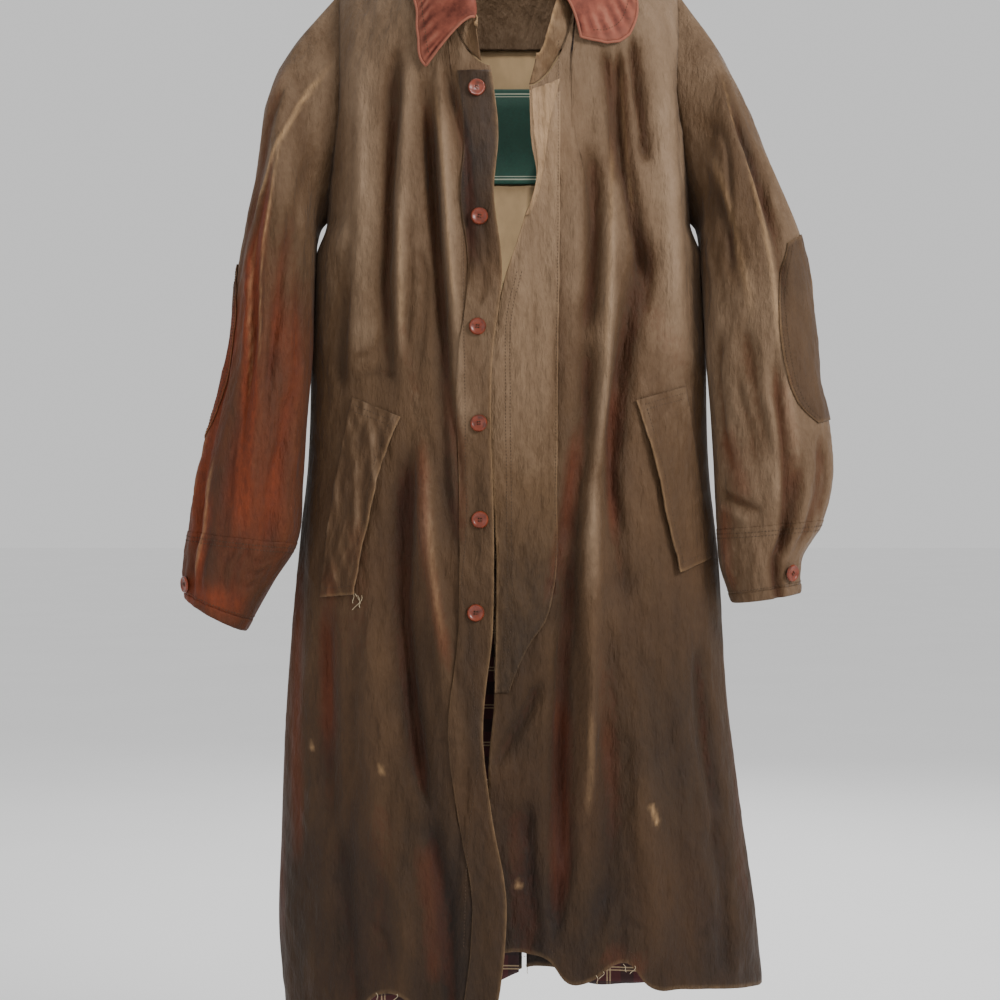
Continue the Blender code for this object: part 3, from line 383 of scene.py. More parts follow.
# Elbow patches on the sleeves
RIGHT_PATCH = (
    # share down, along the sleeve, degrees at the front edge, degrees at the back edge
    (0.00, 236, 172, 206),
    (0.20, 262, 154, 226),
    (0.55, 330, 148, 234),
    (0.85, 404, 158, 226),
    (1.00, 428, 176, 206),
)
LEFT_PATCH = (
    # share down, along the sleeve, degrees at the front edge, degrees at the back edge
    (0.00, 218, 128, 196),
    (0.20, 244, 112, 218),
    (0.55, 312, 103, 226),
    (0.85, 386, 116, 216),
    (1.00, 410, 134, 196),
)

# Front buttons on the button strip, mm
BUTTONS = (
    # x, drop
    (-36, 176), (-33, 320), (-35, 443), (-33, 551), (-32, 658), (-37, 761),
)
LABEL_BOX = (-40.0, 134.0, 50.0, 252.0)
FACING_DROP = 87.0
YOKE_DROP = 450.0
VENT_FACING = 38.0
LINING_HANG = 15.0

# Creases of the right front, mm: a ridge has a positive height
RIGHT_CREASES = (
    # points as x and drop, height, width
    (((-105, 126), (-90, 230), (-83, 314), (-75, 396), (-65, 514), (-54, 607), (-55, 690)), -5, 5),
    (((-72, 148), (-57, 204), (-48, 248), (-45, 314), (-46, 410)), -4, 5),
    (((-81, 140), (-71, 275), (-64, 367), (-58, 425), (-51, 530)), 3.2, 4.5),
    (((-98, 290), (-88, 352), (-79, 455), (-68, 563), (-55, 690)), 3, 5),
    (((-129, 105), (-126, 192), (-137, 292), (-137, 352), (-141, 396), (-125, 470)), -5, 5),
    (((-182, 380), (-185, 425), (-191, 520)), -3.5, 4.5),
    (((-121, 280), (-122, 380), (-121, 480)), 3, 5),
    (((-114, 300), (-111, 367), (-114, 480)), -3, 3.6),
    (((-105, 345), (-94, 381), (-94, 425), (-101, 492)), -4, 4),
    (((-111, 540), (-108, 607), (-114, 703), (-117, 774), (-111, 827), (-108, 879), (-99, 932),
      (-88, 1015)), -6, 6),
    (((-101, 525), (-94, 666), (-80, 747), (-65, 858), (-60, 1080)), 4, 12),
    (((-89, 562), (-84, 592), (-75, 630)), -2.6, 3.6),
    (((-140, 446), (-152, 465), (-180, 476)), -3, 4),
    (((-122, 498), (-148, 492), (-182, 502)), -3, 4),
    (((-90, 899), (-68, 903), (-48, 912)), -1.6, 3.5),
    (((-99, 940), (-86, 985), (-69, 1020)), -2.6, 4),
    (((-163, 1100), (-136, 1122), (-130, 1146)), -2.2, 4),
    (((-211, 740), (-204, 860), (-198, 980)), -3.5, 7),
    (((-236, 640), (-240, 760), (-243, 920)), -3, 6),
    (((-172, 800), (-180, 930), (-176, 1080)), -2.4, 7),
    (((-150, 620), (-146, 720), (-150, 830)), -2.2, 6),
    (((-128, 840), (-122, 930), (-126, 1040)), 2.4, 7),
    (((-45, 900), (-52, 1000), (-64, 1120)), -3, 6),
    (((-160, 120), (-166, 220), (-160, 330)), 2.2, 8),
    (((-175, 180), (-180, 280), (-172, 370)), -2, 6),
    (((-31, 318), (-27, 345), (-24, 376)), -1.6, 3.2),
    (((-38, 352), (-28, 405), (-41, 430)), -1.8, 3.4),
    (((-58, 700), (-52, 760), (-56, 840)), 2.2, 5),
)

# Creases of the left front, mm
LEFT_CREASES = (
    # points as x and drop, height, width
    (((106, 115), (114, 163), (119, 270)), -4.5, 4.5),
    (((96, 195), (91, 245), (96, 359), (84, 461), (93, 580)), -3.4, 8),
    (((75, 540), (59, 672), (37, 775)), -4.5, 6),
    (((123, 105), (129, 226), (139, 345)), -5.5, 4.5),
    (((134, 305), (159, 398), (150, 436)), -6, 6),
    (((147, 424), (120, 503), (116, 620), (124, 684)), -5.5, 6),
    (((138, 98), (149, 187), (157, 262)), -5.5, 4.8),
    (((121, 180), (114, 348), (106, 525), (95, 609), (85, 689), (84, 747), (89, 852), (91, 934),
      (84, 997), (67, 1120)), 4.2, 6.5),
    (((60, 830), (58, 934), (64, 1057), (51, 1120)), -5, 7),
    (((192, 148), (193, 190), (194, 236)), -2, 3.6),
    (((50, 415), (51, 500), (51, 580)), -3, 8),
    (((209, 780), (220, 873), (228, 945), (238, 1055)), -3.5, 6),
    (((111, 832), (118, 865), (125, 896)), -2.2, 4),
    (((36, 832), (21, 869), (-12, 919), (-23, 942)), -4, 6),
    (((117, 1112), (131, 1103), (147, 1117)), -2.2, 3.6),
    (((215, 1132), (225, 1112), (238, 1126)), -2.2, 3.6),
    (((29, 414), (28, 436), (28, 458)), -1.8, 3.4),
    (((165, 290), (172, 360), (168, 450)), -2.4, 6),
    (((185, 240), (190, 330), (186, 430)), 2.6, 9),
    (((112, 300), (108, 400), (104, 500)), -2.4, 4.5),
    (((140, 820), (150, 940), (162, 1080)), 3, 12),
    (((128, 900), (134, 1000), (150, 1110)), -2.4, 6),
    (((180, 840), (188, 960), (200, 1110)), -2.6, 8),
    (((76, 640), (72, 720), (74, 800)), -2.6, 5),
    (((160, 660), (150, 740), (140, 800)), -2.2, 6),
    (((20, 960), (24, 1050), (34, 1140)), -3, 8),
    (((70, 250), (74, 340), (72, 430)), 2, 6),
)

# Creases of the back, mm, similar to those of the fronts
BACK_CREASES = (
    # points as x and drop, height, width
    (((-60, 130), (-70, 260), (-88, 420), (-97, 650)), -5, 5),
    (((-30, 190), (-34, 400), (-44, 710)), -3.5, 6),
    (((62, 140), (70, 300), (80, 480), (90, 670)), -5.5, 5),
    (((100, 170), (106, 330), (116, 510)), 3.4, 7),
    (((135, 140), (148, 300), (156, 470)), -4.5, 5.5),
    (((-130, 550), (-138, 800), (-150, 1110)), -4.5, 8),
    (((120, 630), (128, 860), (140, 1160)), -5, 8),
    (((-182, 515), (-150, 560), (-118, 616)), -2.8, 6),
    (((172, 474), (140, 540), (108, 626)), -2.8, 6),
    (((20, 290), (30, 420), (24, 570)), -3, 5),
    (((190, 690), (196, 900), (206, 1110)), 4, 12),
    (((-200, 690), (-204, 900), (-212, 1110)), 4, 12),
    (((-90, 130), (-104, 240), (-112, 360)), -3.4, 4.5),
    (((-150, 130), (-160, 250), (-156, 380)), 2.6, 7),
    (((40, 640), (46, 820), (52, 1000)), -3.4, 7),
    (((-70, 760), (-64, 940), (-60, 1120)), -4, 8),
    (((160, 820), (166, 960), (178, 1120)), -3.4, 7),
    (((-176, 800), (-182, 960), (-190, 1110)), -3, 7),
)

# Creases of the sleeves: 0 degrees faces the body, 90 the front, 180 outwards
RIGHT_SLEEVE_CREASES = (
    # points as degrees and length along the sleeve, height, width
    (((112, 4), (104, 79), (122, 140), (140, 190)), 2.4, 3.4),
    (((104, 90), (110, 180), (103, 280), (95, 360)), 2.6, 4),
    (((118, 110), (124, 200), (112, 300), (100, 400), (92, 500)), -3.6, 5),
    (((98, 190), (92, 300), (84, 400), (84, 500)), 3, 5),
    (((128, 200), (122, 300), (108, 390), (98, 470)), 2.6, 4),
    (((150, 300), (146, 400), (142, 500), (136, 570)), -4, 5),
    (((162, 360), (158, 440), (152, 520)), 2.8, 5),
    (((140, 440), (134, 500), (128, 590)), 2.4, 4),
    (((70, 20), (66, 110), (60, 200)), -2.8, 6),
    (((52, 180), (44, 300), (40, 420)), -3, 7),
    (((30, 300), (38, 380), (34, 470)), 2.4, 6),
    (((58, 420), (62, 480), (58, 540)), -2.4, 5),
    (((40, 540), (52, 552), (66, 548)), -2.2, 3),
    (((38, 556), (50, 566), (64, 562)), -2.4, 3),
    (((40, 572), (54, 580), (66, 574)), -2, 3),
    (((72, 510), (76, 560), (72, 600)), -2.6, 4),
    (((88, 520), (92, 570), (90, 606)), -2.2, 4),
    (((116, 520), (120, 560), (116, 600)), -2.2, 4),
    (((262, 40), (268, 200), (262, 380)), -3.4, 6),
    (((236, 260), (230, 400), (226, 540)), -3, 6),
    (((300, 90), (306, 230), (300, 380)), -3, 6),
    (((200, 320), (206, 420), (200, 520)), 2.6, 7),
    (((216, 150), (232, 170), (250, 164)), -2.4, 4),
    (((318, 420), (322, 500), (316, 560)), -2.4, 5),
)
LEFT_SLEEVE_CREASES = (
    # points as degrees and length along the sleeve, height, width
    (((87, 6), (92, 50), (100, 80), (82, 124), (62, 184), (60, 240)), -4.2, 5),
    (((72, 20), (76, 100), (72, 190), (78, 270)), 2.8, 6),
    (((113, 60), (113, 138), (103, 209), (101, 279), (101, 336)), 3.2, 4.5),
    (((128, 60), (122, 150), (114, 230), (112, 300)), -4, 6),
    (((99, 305), (94, 393), (94, 464), (110, 545), (124, 566)), -7, 4.5),
    (((108, 320), (104, 400), (106, 470)), 2.6, 5),
    (((16, 459), (40, 474), (58, 486), (72, 497)), -4.6, 4.5),
    (((14, 476), (40, 492), (62, 506)), 2.4, 5),
    (((45, 250), (29, 328), (32, 400), (46, 458)), -4.2, 6),
    (((61, 325), (71, 400), (79, 468)), 3, 6),
    (((52, 300), (60, 380), (66, 450)), -2.6, 5),
    (((84, 350), (86, 420), (84, 500)), 2.6, 5),
    (((30, 120), (36, 220), (40, 300)), 2.6, 7),
    (((146, 120), (152, 180), (150, 240)), 2.2, 5),
    (((138, 430), (146, 470), (140, 512)), -3.4, 5),
    (((152, 470), (148, 500), (152, 530)), -2.6, 4),
    (((262, 40), (268, 200), (262, 380)), -3.4, 6),
    (((236, 260), (230, 400), (226, 520)), -3, 6),
    (((300, 90), (306, 230), (300, 380)), -3, 6),
    (((318, 400), (322, 470), (316, 530)), -2.4, 5),
    (((216, 140), (232, 160), (250, 154)), -2.4, 4),
)

# Rust-brown streaks where the wax has worn, mm
RIGHT_RUST = (
    # points as x and drop, strength, width
    (((-98, 540), (-89, 711), (-74, 791), (-62, 850)), 0.9, 9),
    (((-240, 660), (-243, 765), (-243, 860), (-240, 1100)), 0.9, 10),
    (((-203, 680), (-204, 800), (-200, 940)), 0.75, 11),
    (((-99, 1000), (-88, 1080), (-82, 1190)), 0.6, 14),
    (((-172, 630), (-168, 740), (-172, 840)), 0.4, 16),
    (((-150, 940), (-146, 1050), (-140, 1180)), 0.35, 22),
    (((-60, 520), (-52, 600), (-52, 700)), 0.5, 8),
    (((-262, 700), (-264, 900), (-262, 1200)), 0.8, 9),
    (((-126, 420), (-112, 470), (-104, 540)), 0.35, 12),
)
LEFT_RUST = (
    # points as x and drop, strength, width
    (((76, 530), (59, 672), (36, 780)), 0.75, 10),
    (((121, 495), (114, 600), (118, 695)), 0.5, 8),
    (((60, 840), (62, 960), (54, 1100)), 0.55, 13),
    (((100, 1130), (130, 1150), (160, 1160)), 0.6, 22),
    (((150, 410), (180, 450), (205, 500)), 0.3, 24),
    (((105, 760), (112, 900), (120, 1040)), 0.35, 16),
    (((250, 800), (262, 950), (272, 1150)), 0.4, 10),
)
BACK_RUST = (
    # points as x and drop, strength, width
    (((-88, 420), (-97, 640), (-120, 900)), 0.6, 12),
    (((90, 500), (120, 760), (140, 1100)), 0.5, 13),
    (((-240, 560), (-246, 800), (-250, 1180)), 0.8, 13),
    (((236, 640), (250, 860), (268, 1150)), 0.5, 12),
    (((-10, 700), (6, 900), (10, 1180)), 0.4, 16),
)
RIGHT_SLEEVE_RUST = (
    # points as degrees and length along the sleeve, strength, width
    (((110, 90), (116, 180), (112, 270), (100, 370), (92, 460), (88, 560)), 1.2, 9),
    (((124, 180), (122, 260), (108, 340), (100, 400)), 0.9, 9),
    (((156, 250), (156, 370), (150, 460), (146, 560)), 1.25, 15),
    (((130, 470), (126, 540), (122, 610)), 1.0, 7),
    (((66, 230), (64, 400), (66, 560)), 0.45, 26),
    (((190, 330), (196, 460), (196, 580)), 0.9, 20),
    (((232, 200), (240, 380), (236, 560)), 0.6, 16),
    (((20, 604), (90, 600), (180, 606), (270, 604), (350, 604)), 1.1, 16),
    (((150, 40), (150, 130), (160, 220)), 0.35, 16),
)
LEFT_SLEEVE_RUST = (
    # points as degrees and length along the sleeve, strength, width
    (((28, 470), (26, 540), (30, 592)), 0.7, 13),
    (((30, 380), (44, 440), (60, 486)), 0.4, 14),
    (((232, 200), (240, 380), (236, 540)), 0.4, 16),
    (((98, 330), (100, 420), (104, 500)), 0.25, 12),
)

# Pale lines and scuffs, mm: rubbed wear, and painted highlights along ridge crests
RIGHT_PALE = (
    # points as x and drop, strength, width
    (((-85, 150), (-74, 260), (-66, 360), (-59, 440)), 0.5, 2.2),
    (((-144, 931), (-142, 936), (-141, 941)), 1.0, 2.2),
    (((-226, 910), (-224, 914), (-222, 918)), 1.0, 2.2),
    (((-90, 640), (-84, 720), (-72, 800)), 0.35, 3),
    (((-122, 300), (-122, 380), (-121, 460)), 0.35, 2.6),
)
LEFT_PALE = (
    # points as x and drop, strength, width
    (((156, 972), (161, 984), (167, 1000)), 1.3, 2.4),
    (((7, 1060), (10, 1064), (13, 1069)), 1.2, 2.6),
    (((118, 200), (113, 348), (106, 520)), 0.4, 3),
    (((89, 860), (91, 930), (86, 990)), 0.3, 3),
    (((126, 120), (132, 230), (142, 330)), 0.4, 2.2),
)
BACK_PALE = (
    # points as x and drop, strength, width
    (((-52, 150), (-62, 260), (-80, 430)), 0.35, 3),
    (((96, 200), (104, 330), (114, 500)), 0.35, 3),
)
RIGHT_SLEEVE_PALE = (
    # points as degrees and length along the sleeve, strength, width
    (((112, 0), (104, 79), (122, 140), (141, 196)), 1.2, 1.8),
    (((104, 84), (108, 170), (102, 270), (94, 350)), 0.9, 1.5),
    (((126, 190), (118, 290), (102, 380)), 0.6, 1.5),
    (((160, 180), (166, 280), (160, 400), (152, 520)), 0.6, 1.5),
    (((134, 430), (130, 500), (128, 590)), 0.8, 2),
)
LEFT_SLEEVE_PALE = (
    # points as degrees and length along the sleeve, strength, width
    (((140, 40), (113, 138), (103, 209), (101, 279), (101, 336)), 0.8, 2),
    (((74, 30), (76, 110), (72, 200), (78, 280)), 0.4, 4),
    (((164, 150), (170, 230), (162, 300)), 0.5, 2),
)

CREASES = {"right": RIGHT_CREASES, "left": LEFT_CREASES, "back": BACK_CREASES, "inside": ()}
RUST = {"right": RIGHT_RUST, "left": LEFT_RUST, "back": BACK_RUST}
PALE = {"right": RIGHT_PALE, "left": LEFT_PALE, "back": BACK_PALE}
FOLDS = {"right": RIGHT_FOLDS, "left": LEFT_FOLDS, "back": BACK_FOLDS}
HEMS = {"right": RIGHT_HEM, "left": LEFT_HEM, "back": BACK_HEM}
CRUMPLE_SEEDS = {"right": 11, "left": 12, "back": 13}

EDGES = {"right": RIGHT_EDGE, "left": LEFT_EDGE}
SIDES = {"right": -1.0, "left": 1.0}

# Width along a front's free edge that has no folds, mm
EDGE_CALM = {"right": 38.0, "left": -6.0}

# Painted light: a band of drops on each face drawn lighter, as if lit more
PAINTED_LIGHT = {
    # strength, drop where it starts and run, drop where it ends and run
    "right": (0.3, 230.0, 80.0, 520.0, 120.0),
    "left": (0.35, -100.0, 1.0, 650.0, 150.0),
    "back": (0.0, -100.0, 1.0, 650.0, 150.0),
}

# Each sleeve's own values
SLEEVES = {
    "right": {
        "side": -1.0,
        "rings": RIGHT_RINGS,
        "folds": RIGHT_SLEEVE_FOLDS,
        "creases": RIGHT_SLEEVE_CREASES,
        "rust": RIGHT_SLEEVE_RUST,
        "pale": RIGHT_SLEEVE_PALE,
        "cuff_ring": RIGHT_CUFF_RING,
        "patch": RIGHT_PATCH,
        "patch_cut": ((0.11, 0.20), 0.0163),
        "seed": 21,
        "button": 150.0,
        "raised": 0.5,
        # The next share adds rust-brown below the elbow
        "worn": 0.55,
        # Painted shade: this sleeve drawn darker below the elbow
        "dry": -0.4,
    },
    "left": {
        "side": 1.0,
        "rings": LEFT_RINGS,
        "folds": LEFT_SLEEVE_FOLDS,
        "creases": LEFT_SLEEVE_CREASES,
        "rust": LEFT_SLEEVE_RUST,
        "pale": LEFT_SLEEVE_PALE,
        "cuff_ring": LEFT_CUFF_RING,
        "patch": LEFT_PATCH,
        "patch_cut": ((0.16, 0.20), 0.0254),
        "seed": 22,
        "button": 128.0,
        "raised": 2.0,
        # The next share adds rust-brown below the elbow
        "worn": 0.08,
        # Painted light: this sleeve drawn lighter below the elbow
        "dry": 0.9,
    },
}

# Stitching
STRIP_SEAM = (
    # x, drop
    (-50, 180), (-51, 425), (-49, 525), (-50, 703), (-53, 729), (-45, 774), (-41, 827), (-37, 879),
    (-34, 920), (-44, 1000), (-50, 1130),
)
FLY_STITCHES = (
    # x, drop
    (12, 380), (2, 420), (-1, 520), (0, 640), (-1, 780), (-6, 830),
)
HEM_TURN = 14.0
HEM_RISE = 0.7
HEM_STITCHES = {"right": (-225, -20), "left": (-14, 240), "back": (-225, 225)}
THREAD_ENDS = (
    # face, x, drop, length, lean
    ("right", -172, 741, 17, 12), ("right", -169, 743, 14, 4), ("right", -164, 743, 16, -9),
    ("right", -175, 740, 12, 2), ("left", 96, 1162, 10, 3), ("left", 104, 1158, 8, -3),
    ("left", 126, 1150, 9, 5), ("left", 139, 1152, 9, -4), ("right", -146, 1183, 9, 3),
    ("right", -122, 1181, 8, -3), ("back", 22, 1214, 11, 4), ("back", -40, 1244, 9, -3),
)


# Soft lines: how far one reaches in widths, the share that tapers, and its blunt end in mm
STREAK_REACH = 3.5
STREAK_TAPER = 0.22
STREAK_END = 20.0

# Crumpling of old cloth: waves, and the lowest and highest of what each wave draws
CRUMPLE_WAVES = 16
CRUMPLE_LENGTH = (15.0, 72.0)
CRUMPLE_LEAN = (-0.5, 0.5)
CRUMPLE_START = (0.0, 6.3)
CRUMPLE_BEND = (4.0, 14.0)
CRUMPLE_BEND_LENGTH = (70.0, 190.0)
CREST_MEAN = 0.64
CREST_HEIGHT = 1.6
CRUMPLE_SHARE = 0.8
BODY_CRUMPLE = 1.25
SLEEVE_CRUMPLE = 1.3

# Sleeves: degrees beside the body that stay calm, and lengths that tuck in and stay smooth at the armhole
SLEEVE_CALM = 25.0
SLEEVE_TUCK = 1.5
TUCK_RUN = 3.0
SLEEVE_SMOOTH = 60.0

# Share of a fold's length over which it fades at each end
BODY_FADE = 0.18
SIDE_FADE = 0.25
SLEEVE_FADE = 0.3

# Part of the sine of the angle round the body over which folds come in from the side seams
FACING_START = 0.12
FACING_RUN = 0.3


def hermite(t, step, values, slopes):
    """Smooth value at the share t of a step between two values with their slopes."""
    rise = (2 * t ** 3 - 3 * t ** 2 + 1) * values[0] + (3 * t ** 2 - 2 * t ** 3) * values[1]
    lean = (t ** 3 - 2 * t ** 2 + t) * slopes[0] + (t ** 3 - t ** 2) * slopes[1]
    return rise + lean * step


def curve(table, column, at):
    """Smooth value of one column of a table at places in its first column."""
    rows = np.asarray(table, dtype=float)
    xs = rows[:, 0]
    ys = rows[:, column]
    slopes = np.gradient(ys, xs)
    index = np.clip(np.searchsorted(xs, at, side="right") - 1, 0, len(xs) - 2)
    step = xs[index + 1] - xs[index]
    t = np.clip((at - xs[index]) / step, 0.0, 1.0)
    return hermite(t, step, (ys[index], ys[index + 1]), (slopes[index], slopes[index + 1]))


def ease(t):
    """Smooth step from 0 to 1."""
    t = np.clip(t, 0.0, 1.0)
    return t * t * (3.0 - 2.0 * t)


def window(at, start, stop, share):
    """One between two places, eased down to 0 over a share of the way at both ends."""
    run = (stop - start) * share
    return ease((at - start) / run) * ease((stop - at) / run)


def turned_from(degrees, centre):
    """Degrees from a centre, the short way round."""
    return (degrees - centre + 180.0) % 360.0 - 180.0


def unit(vectors):
    """Rows scaled to length one."""
    return vectors / np.maximum(np.linalg.norm(vectors, axis=-1, keepdims=True), 1e-12)


def lengths_along(points):
    """Length along a line of points up to each of them."""
    return np.concatenate([[0.0], np.cumsum(np.linalg.norm(np.diff(points, axis=0), axis=1))])


def smooth_path(points, count=64):
    """Even points along a smooth line through the given ones."""
    spots = np.asarray(points, dtype=float)
    length = lengths_along(spots)
    table = np.column_stack([length, spots])
    at = np.linspace(0.0, length[-1], count)
    return np.column_stack([curve(table, 1, at), curve(table, 2, at)])


def streaks(table, x, y):
    """Sum of the soft lines of a table at places x and y."""
    total = np.zeros_like(x, dtype=float)
    for points, height, width in table:
        path = smooth_path(points)
        low = path.min(axis=0) - STREAK_REACH * width
        high = path.max(axis=0) + STREAK_REACH * width
        near = (x > low[0]) & (x < high[0]) & (y > low[1]) & (y < high[1])
        if not near.any():
            continue
        tangent = unit(np.gradient(path, axis=0))
        away_x = x[near][:, None] - path[:, 0]
        away_y = y[near][:, None] - path[:, 1]
        index = np.hypot(away_x, away_y).argmin(axis=1)
        pick = np.arange(len(index))
        across = away_x[pick, index] * tangent[index, 1] - away_y[pick, index] * tangent[index, 0]
        beyond = away_x[pick, index] * tangent[index, 0] + away_y[pick, index] * tangent[index, 1]
        share = index / (len(path) - 1.0)
        taper = window(share, 0.0, 1.0, STREAK_TAPER) * np.exp(-(beyond / STREAK_END) ** 4)
        total[near] += height * taper * np.exp(-(across / width) ** 2)
    return total


def crumple(x, y, seed):
    """Small uneven creases of old cloth, mostly upright, from seeded crests, about -1 to 1."""
    draw = np.random.RandomState(seed)
    total = np.zeros_like(x, dtype=float)
    for _ in range(CRUMPLE_WAVES):
        length = draw.uniform(*CRUMPLE_LENGTH)
        lean = draw.uniform(*CRUMPLE_LEAN)
        start = draw.uniform(*CRUMPLE_START)
        bend = draw.uniform(*CRUMPLE_BEND)
        bend_length = draw.uniform(*CRUMPLE_BEND_LENGTH)
        swing = bend * np.sin(y * 2.0 * math.pi / bend_length + start)
        phase = (x + lean * y + swing) * 2.0 * math.pi / length + start
        total += CREST_HEIGHT * (CREST_MEAN - np.abs(np.sin(phase / 2.0)))
    return total / math.sqrt(CRUMPLE_WAVES) * CRUMPLE_SHARE


def wrapped(table, degrees, along):
    """Sum of the soft lines of a sleeve's table, carried on past a full turn."""
    return sum(streaks(table, degrees + turn, along) for turn in (-360.0, 0.0, 360.0))


def ring_folds(folds, degrees, along):
    """Sum of a sleeve's folds."""
    total = np.zeros_like(along, dtype=float)
    for start, stop, first, last, tall, width in folds:
        centre = first + (last - first) * np.clip((along - start) / (stop - start), 0, 1)
        near = np.exp(-(turned_from(degrees, centre) / width) ** 2)
        total += tall * window(along, start, stop, SLEEVE_FADE) * near
    return total


def sleeve_at(sleeve, degrees, along, raised=0.0):
    """Point of a sleeve at degrees round it and a length along it, mm."""
    side = sleeve["side"]
    theta = np.radians(degrees)
    loops = ring_points(side, sleeve["rings"], theta)
    stations = ring_stations(side, sleeve["rings"])
    slopes = np.gradient(loops, stations, axis=0)
    index = np.clip(np.searchsorted(stations, along, side="right") - 1, 0, len(stations) - 2)
    pick = np.arange(len(theta))
    step = (stations[index + 1] - stations[index])[:, None]
    t = (along[:, None] - stations[index][:, None]) / step
    values = (loops[index, pick], loops[index + 1, pick])
    point = hermite(t, step, values, (slopes[index, pick], slopes[index + 1, pick]))
    round_it = degrees % 360.0
    calm = ease(np.minimum(round_it, 360.0 - round_it) / SLEEVE_CALM)
    height = ring_folds(sleeve["folds"], degrees, along) + wrapped(sleeve["creases"], degrees, along)
    height = height + SLEEVE_CRUMPLE * calm * crumple(round_it, along, sleeve["seed"])
    spoke = np.stack([-side * np.cos(theta), -np.sin(theta), np.zeros_like(theta)], axis=-1)
    tuck = SLEEVE_TUCK * ease(-along / TUCK_RUN)
    return point + spoke * (raised - tuck + height * ease(along / SLEEVE_SMOOTH))[:, None]


def shoulder_drop(x):
    """Drop of the shoulder line at x."""
    return SHOULDER_FALL * (np.abs(x) / SHOULDER_HALF) ** SHOULDER_CURVE - NECK_RISE


def neck_point_drop():
    """Drop where the neckline meets the shoulder seam."""
    return float(shoulder_drop(NECK_HALF))


def half_width(x, drop):
    """Half girth on the side that x lies on, fuller under the arms."""
    full = SIDE_FULL * ease((drop - FULL_START) / FULL_RUN) * ease((FULL_END - drop) / FULL_FADE)
    return np.where(x > 0, curve(SECTION, 2, drop), curve(SECTION, 1, drop)) + full


def angle_at(x, drop):
    """Angle round the body, 0 at the wearer's left side, of a place x on the front."""
    share = np.clip(np.abs(x) / half_width(x, drop), 1e-4, 0.99999)
    angle = np.arctan((share ** -SECTION_POWER - 1.0) ** (1.0 / SECTION_POWER))
    return np.where(x > 0, angle, math.pi - angle)


def fold_height(folds, x, drop):
    """Sum of the folds in a table at x and drop."""
    total = np.zeros_like(x)
    for top, middle, end, x_top, x_middle, x_end, height, left, right in folds:
        path = curve(((top, x_top), (middle, x_middle), (end, x_end)), 1, drop)
        away = x - path
        width = np.maximum(np.where(away < 0, left, right), FINEST_FOLD)
        total += height * window(drop, top, end, BODY_FADE) * np.exp(-(away / width) ** 2)
    return total


def side_height(angle, drop):
    """Sum of the folds near the side seams."""
    total = np.zeros_like(drop)
    degrees = np.degrees(angle)
    for top, end, start, stop, height, width in SIDE_FOLDS:
        centre = start + (stop - start) * np.clip((drop - top) / (end - top), 0, 1)
        near = np.exp(-(turned_from(degrees, centre) / width) ** 2)
        total += height * window(drop, top, end, SIDE_FADE) * near
    return total


def relief(face, x, drop, facing):
    """Height of a face's folds, creases, crumpling and turned hem, mm."""
    folds = fold_height(FOLDS[face], x, drop) * facing
    if face in EDGES:
        inward = SIDES[face] * (x - curve(EDGES[face], 1, drop))
        folds = folds * ease((inward - EDGE_CALM[face]) / EDGE_RUN)
    hem = curve(HEMS[face], 1, x) - drop
    turned = HEM_RISE * (ease((HEM_TURN - hem) / 3.0) - np.exp(-((hem - HEM_TURN) / 2.2) ** 2))
    ripple = BODY_CRUMPLE * crumple(x, drop, CRUMPLE_SEEDS[face])
    shoulder = ease((drop - shoulder_drop(x)) / SHOULDER_CALM)
    return folds + (streaks(CREASES[face], x, drop) + ripple + turned) * facing * shoulder


def body_point(face, angle, drop):
    """Point of the body at an angle from 0 to 180 degrees across one face, mm.

    face is right or left for that front, back for the back, or inside for the
    back without its folds.
    """
    cosine = np.cos(angle)
    sine = np.sin(angle)
    size = (np.abs(cosine) ** SECTION_POWER + np.abs(sine) ** SECTION_POWER) ** (1.0 / SECTION_POWER)
    width = half_width(cosine, drop)
    behind = face in ("back", "inside")
    depth = curve(SECTION, 4 if behind else 3, drop)
    x = width * cosine / size
    dome = BACK_DOME if behind else FRONT_DOME
    below = np.clip((drop - shoulder_drop(x)) / dome, 0.0, 1.0)
    swell = np.sqrt(1.0 - (1.0 - below) ** 2)
    y = depth * sine / size * swell
    height = np.zeros_like(x)
    if face != "inside":
        height = side_height(2.0 * math.pi - angle if behind else angle, drop)
        height = height + relief(face, x, drop, ease((sine - FACING_START) / FACING_RUN))
    if face == "right":
        y = y + LAP_LIFT * ease((x + LAP_START) / LAP_RUN)
    lean_x = np.sign(cosine) * (np.abs(cosine) / size) ** (SECTION_POWER - 1) / width
    lean_y = (np.abs(sine) / size) ** (SECTION_POWER - 1) / depth * np.sign(sine)
    length = np.hypot(lean_x, lean_y)
    x = x + height * lean_x / length
    y = y + height * lean_y / length + SEAM_GAP / 2
    side = 1.0 if behind else -1.0
    return np.stack([x, side * y, -drop + 0.0 * x], axis=-1)


def body_normal(face, angle, drop):
    """Outward normal of the body, level across the side seams and upright on the shoulders."""
    around = body_point(face, angle + 0.02, drop) - body_point(face, angle - 0.02, drop)
    down = body_point(face, angle, drop + 8.0) - body_point(face, angle, drop - 8.0)
    found = unit(np.cross(around, down))
    here = body_point(face, angle, drop)
    if face in ("back", "inside"):
        found = -found
    below = drop - shoulder_drop(here[:, 0])
    found[:, 1] *= ease(below / 6.0) * ease(np.abs(np.sin(angle)) / 0.1)
    return unit(found)


def off_body(face, x, drop, lift):
    """Places over x and drop on a face, lifted off it, mm, and the normals there."""
    angle = angle_at(x, drop)
    normal = body_normal(face, angle, drop)
    return body_point(face, angle, drop) + normal * np.reshape(lift, (-1, 1)), normal


def scye_angle(drop, reach):
    """Angle in from the side seam at which the armhole cuts a panel."""
    tip = float(shoulder_drop(SHOULDER_HALF))
    share = np.clip((drop - tip) / (UNDERARM_DROP - tip), 0.0, 1.0)
    return np.radians(reach) * np.sin(math.pi * share) ** 0.7


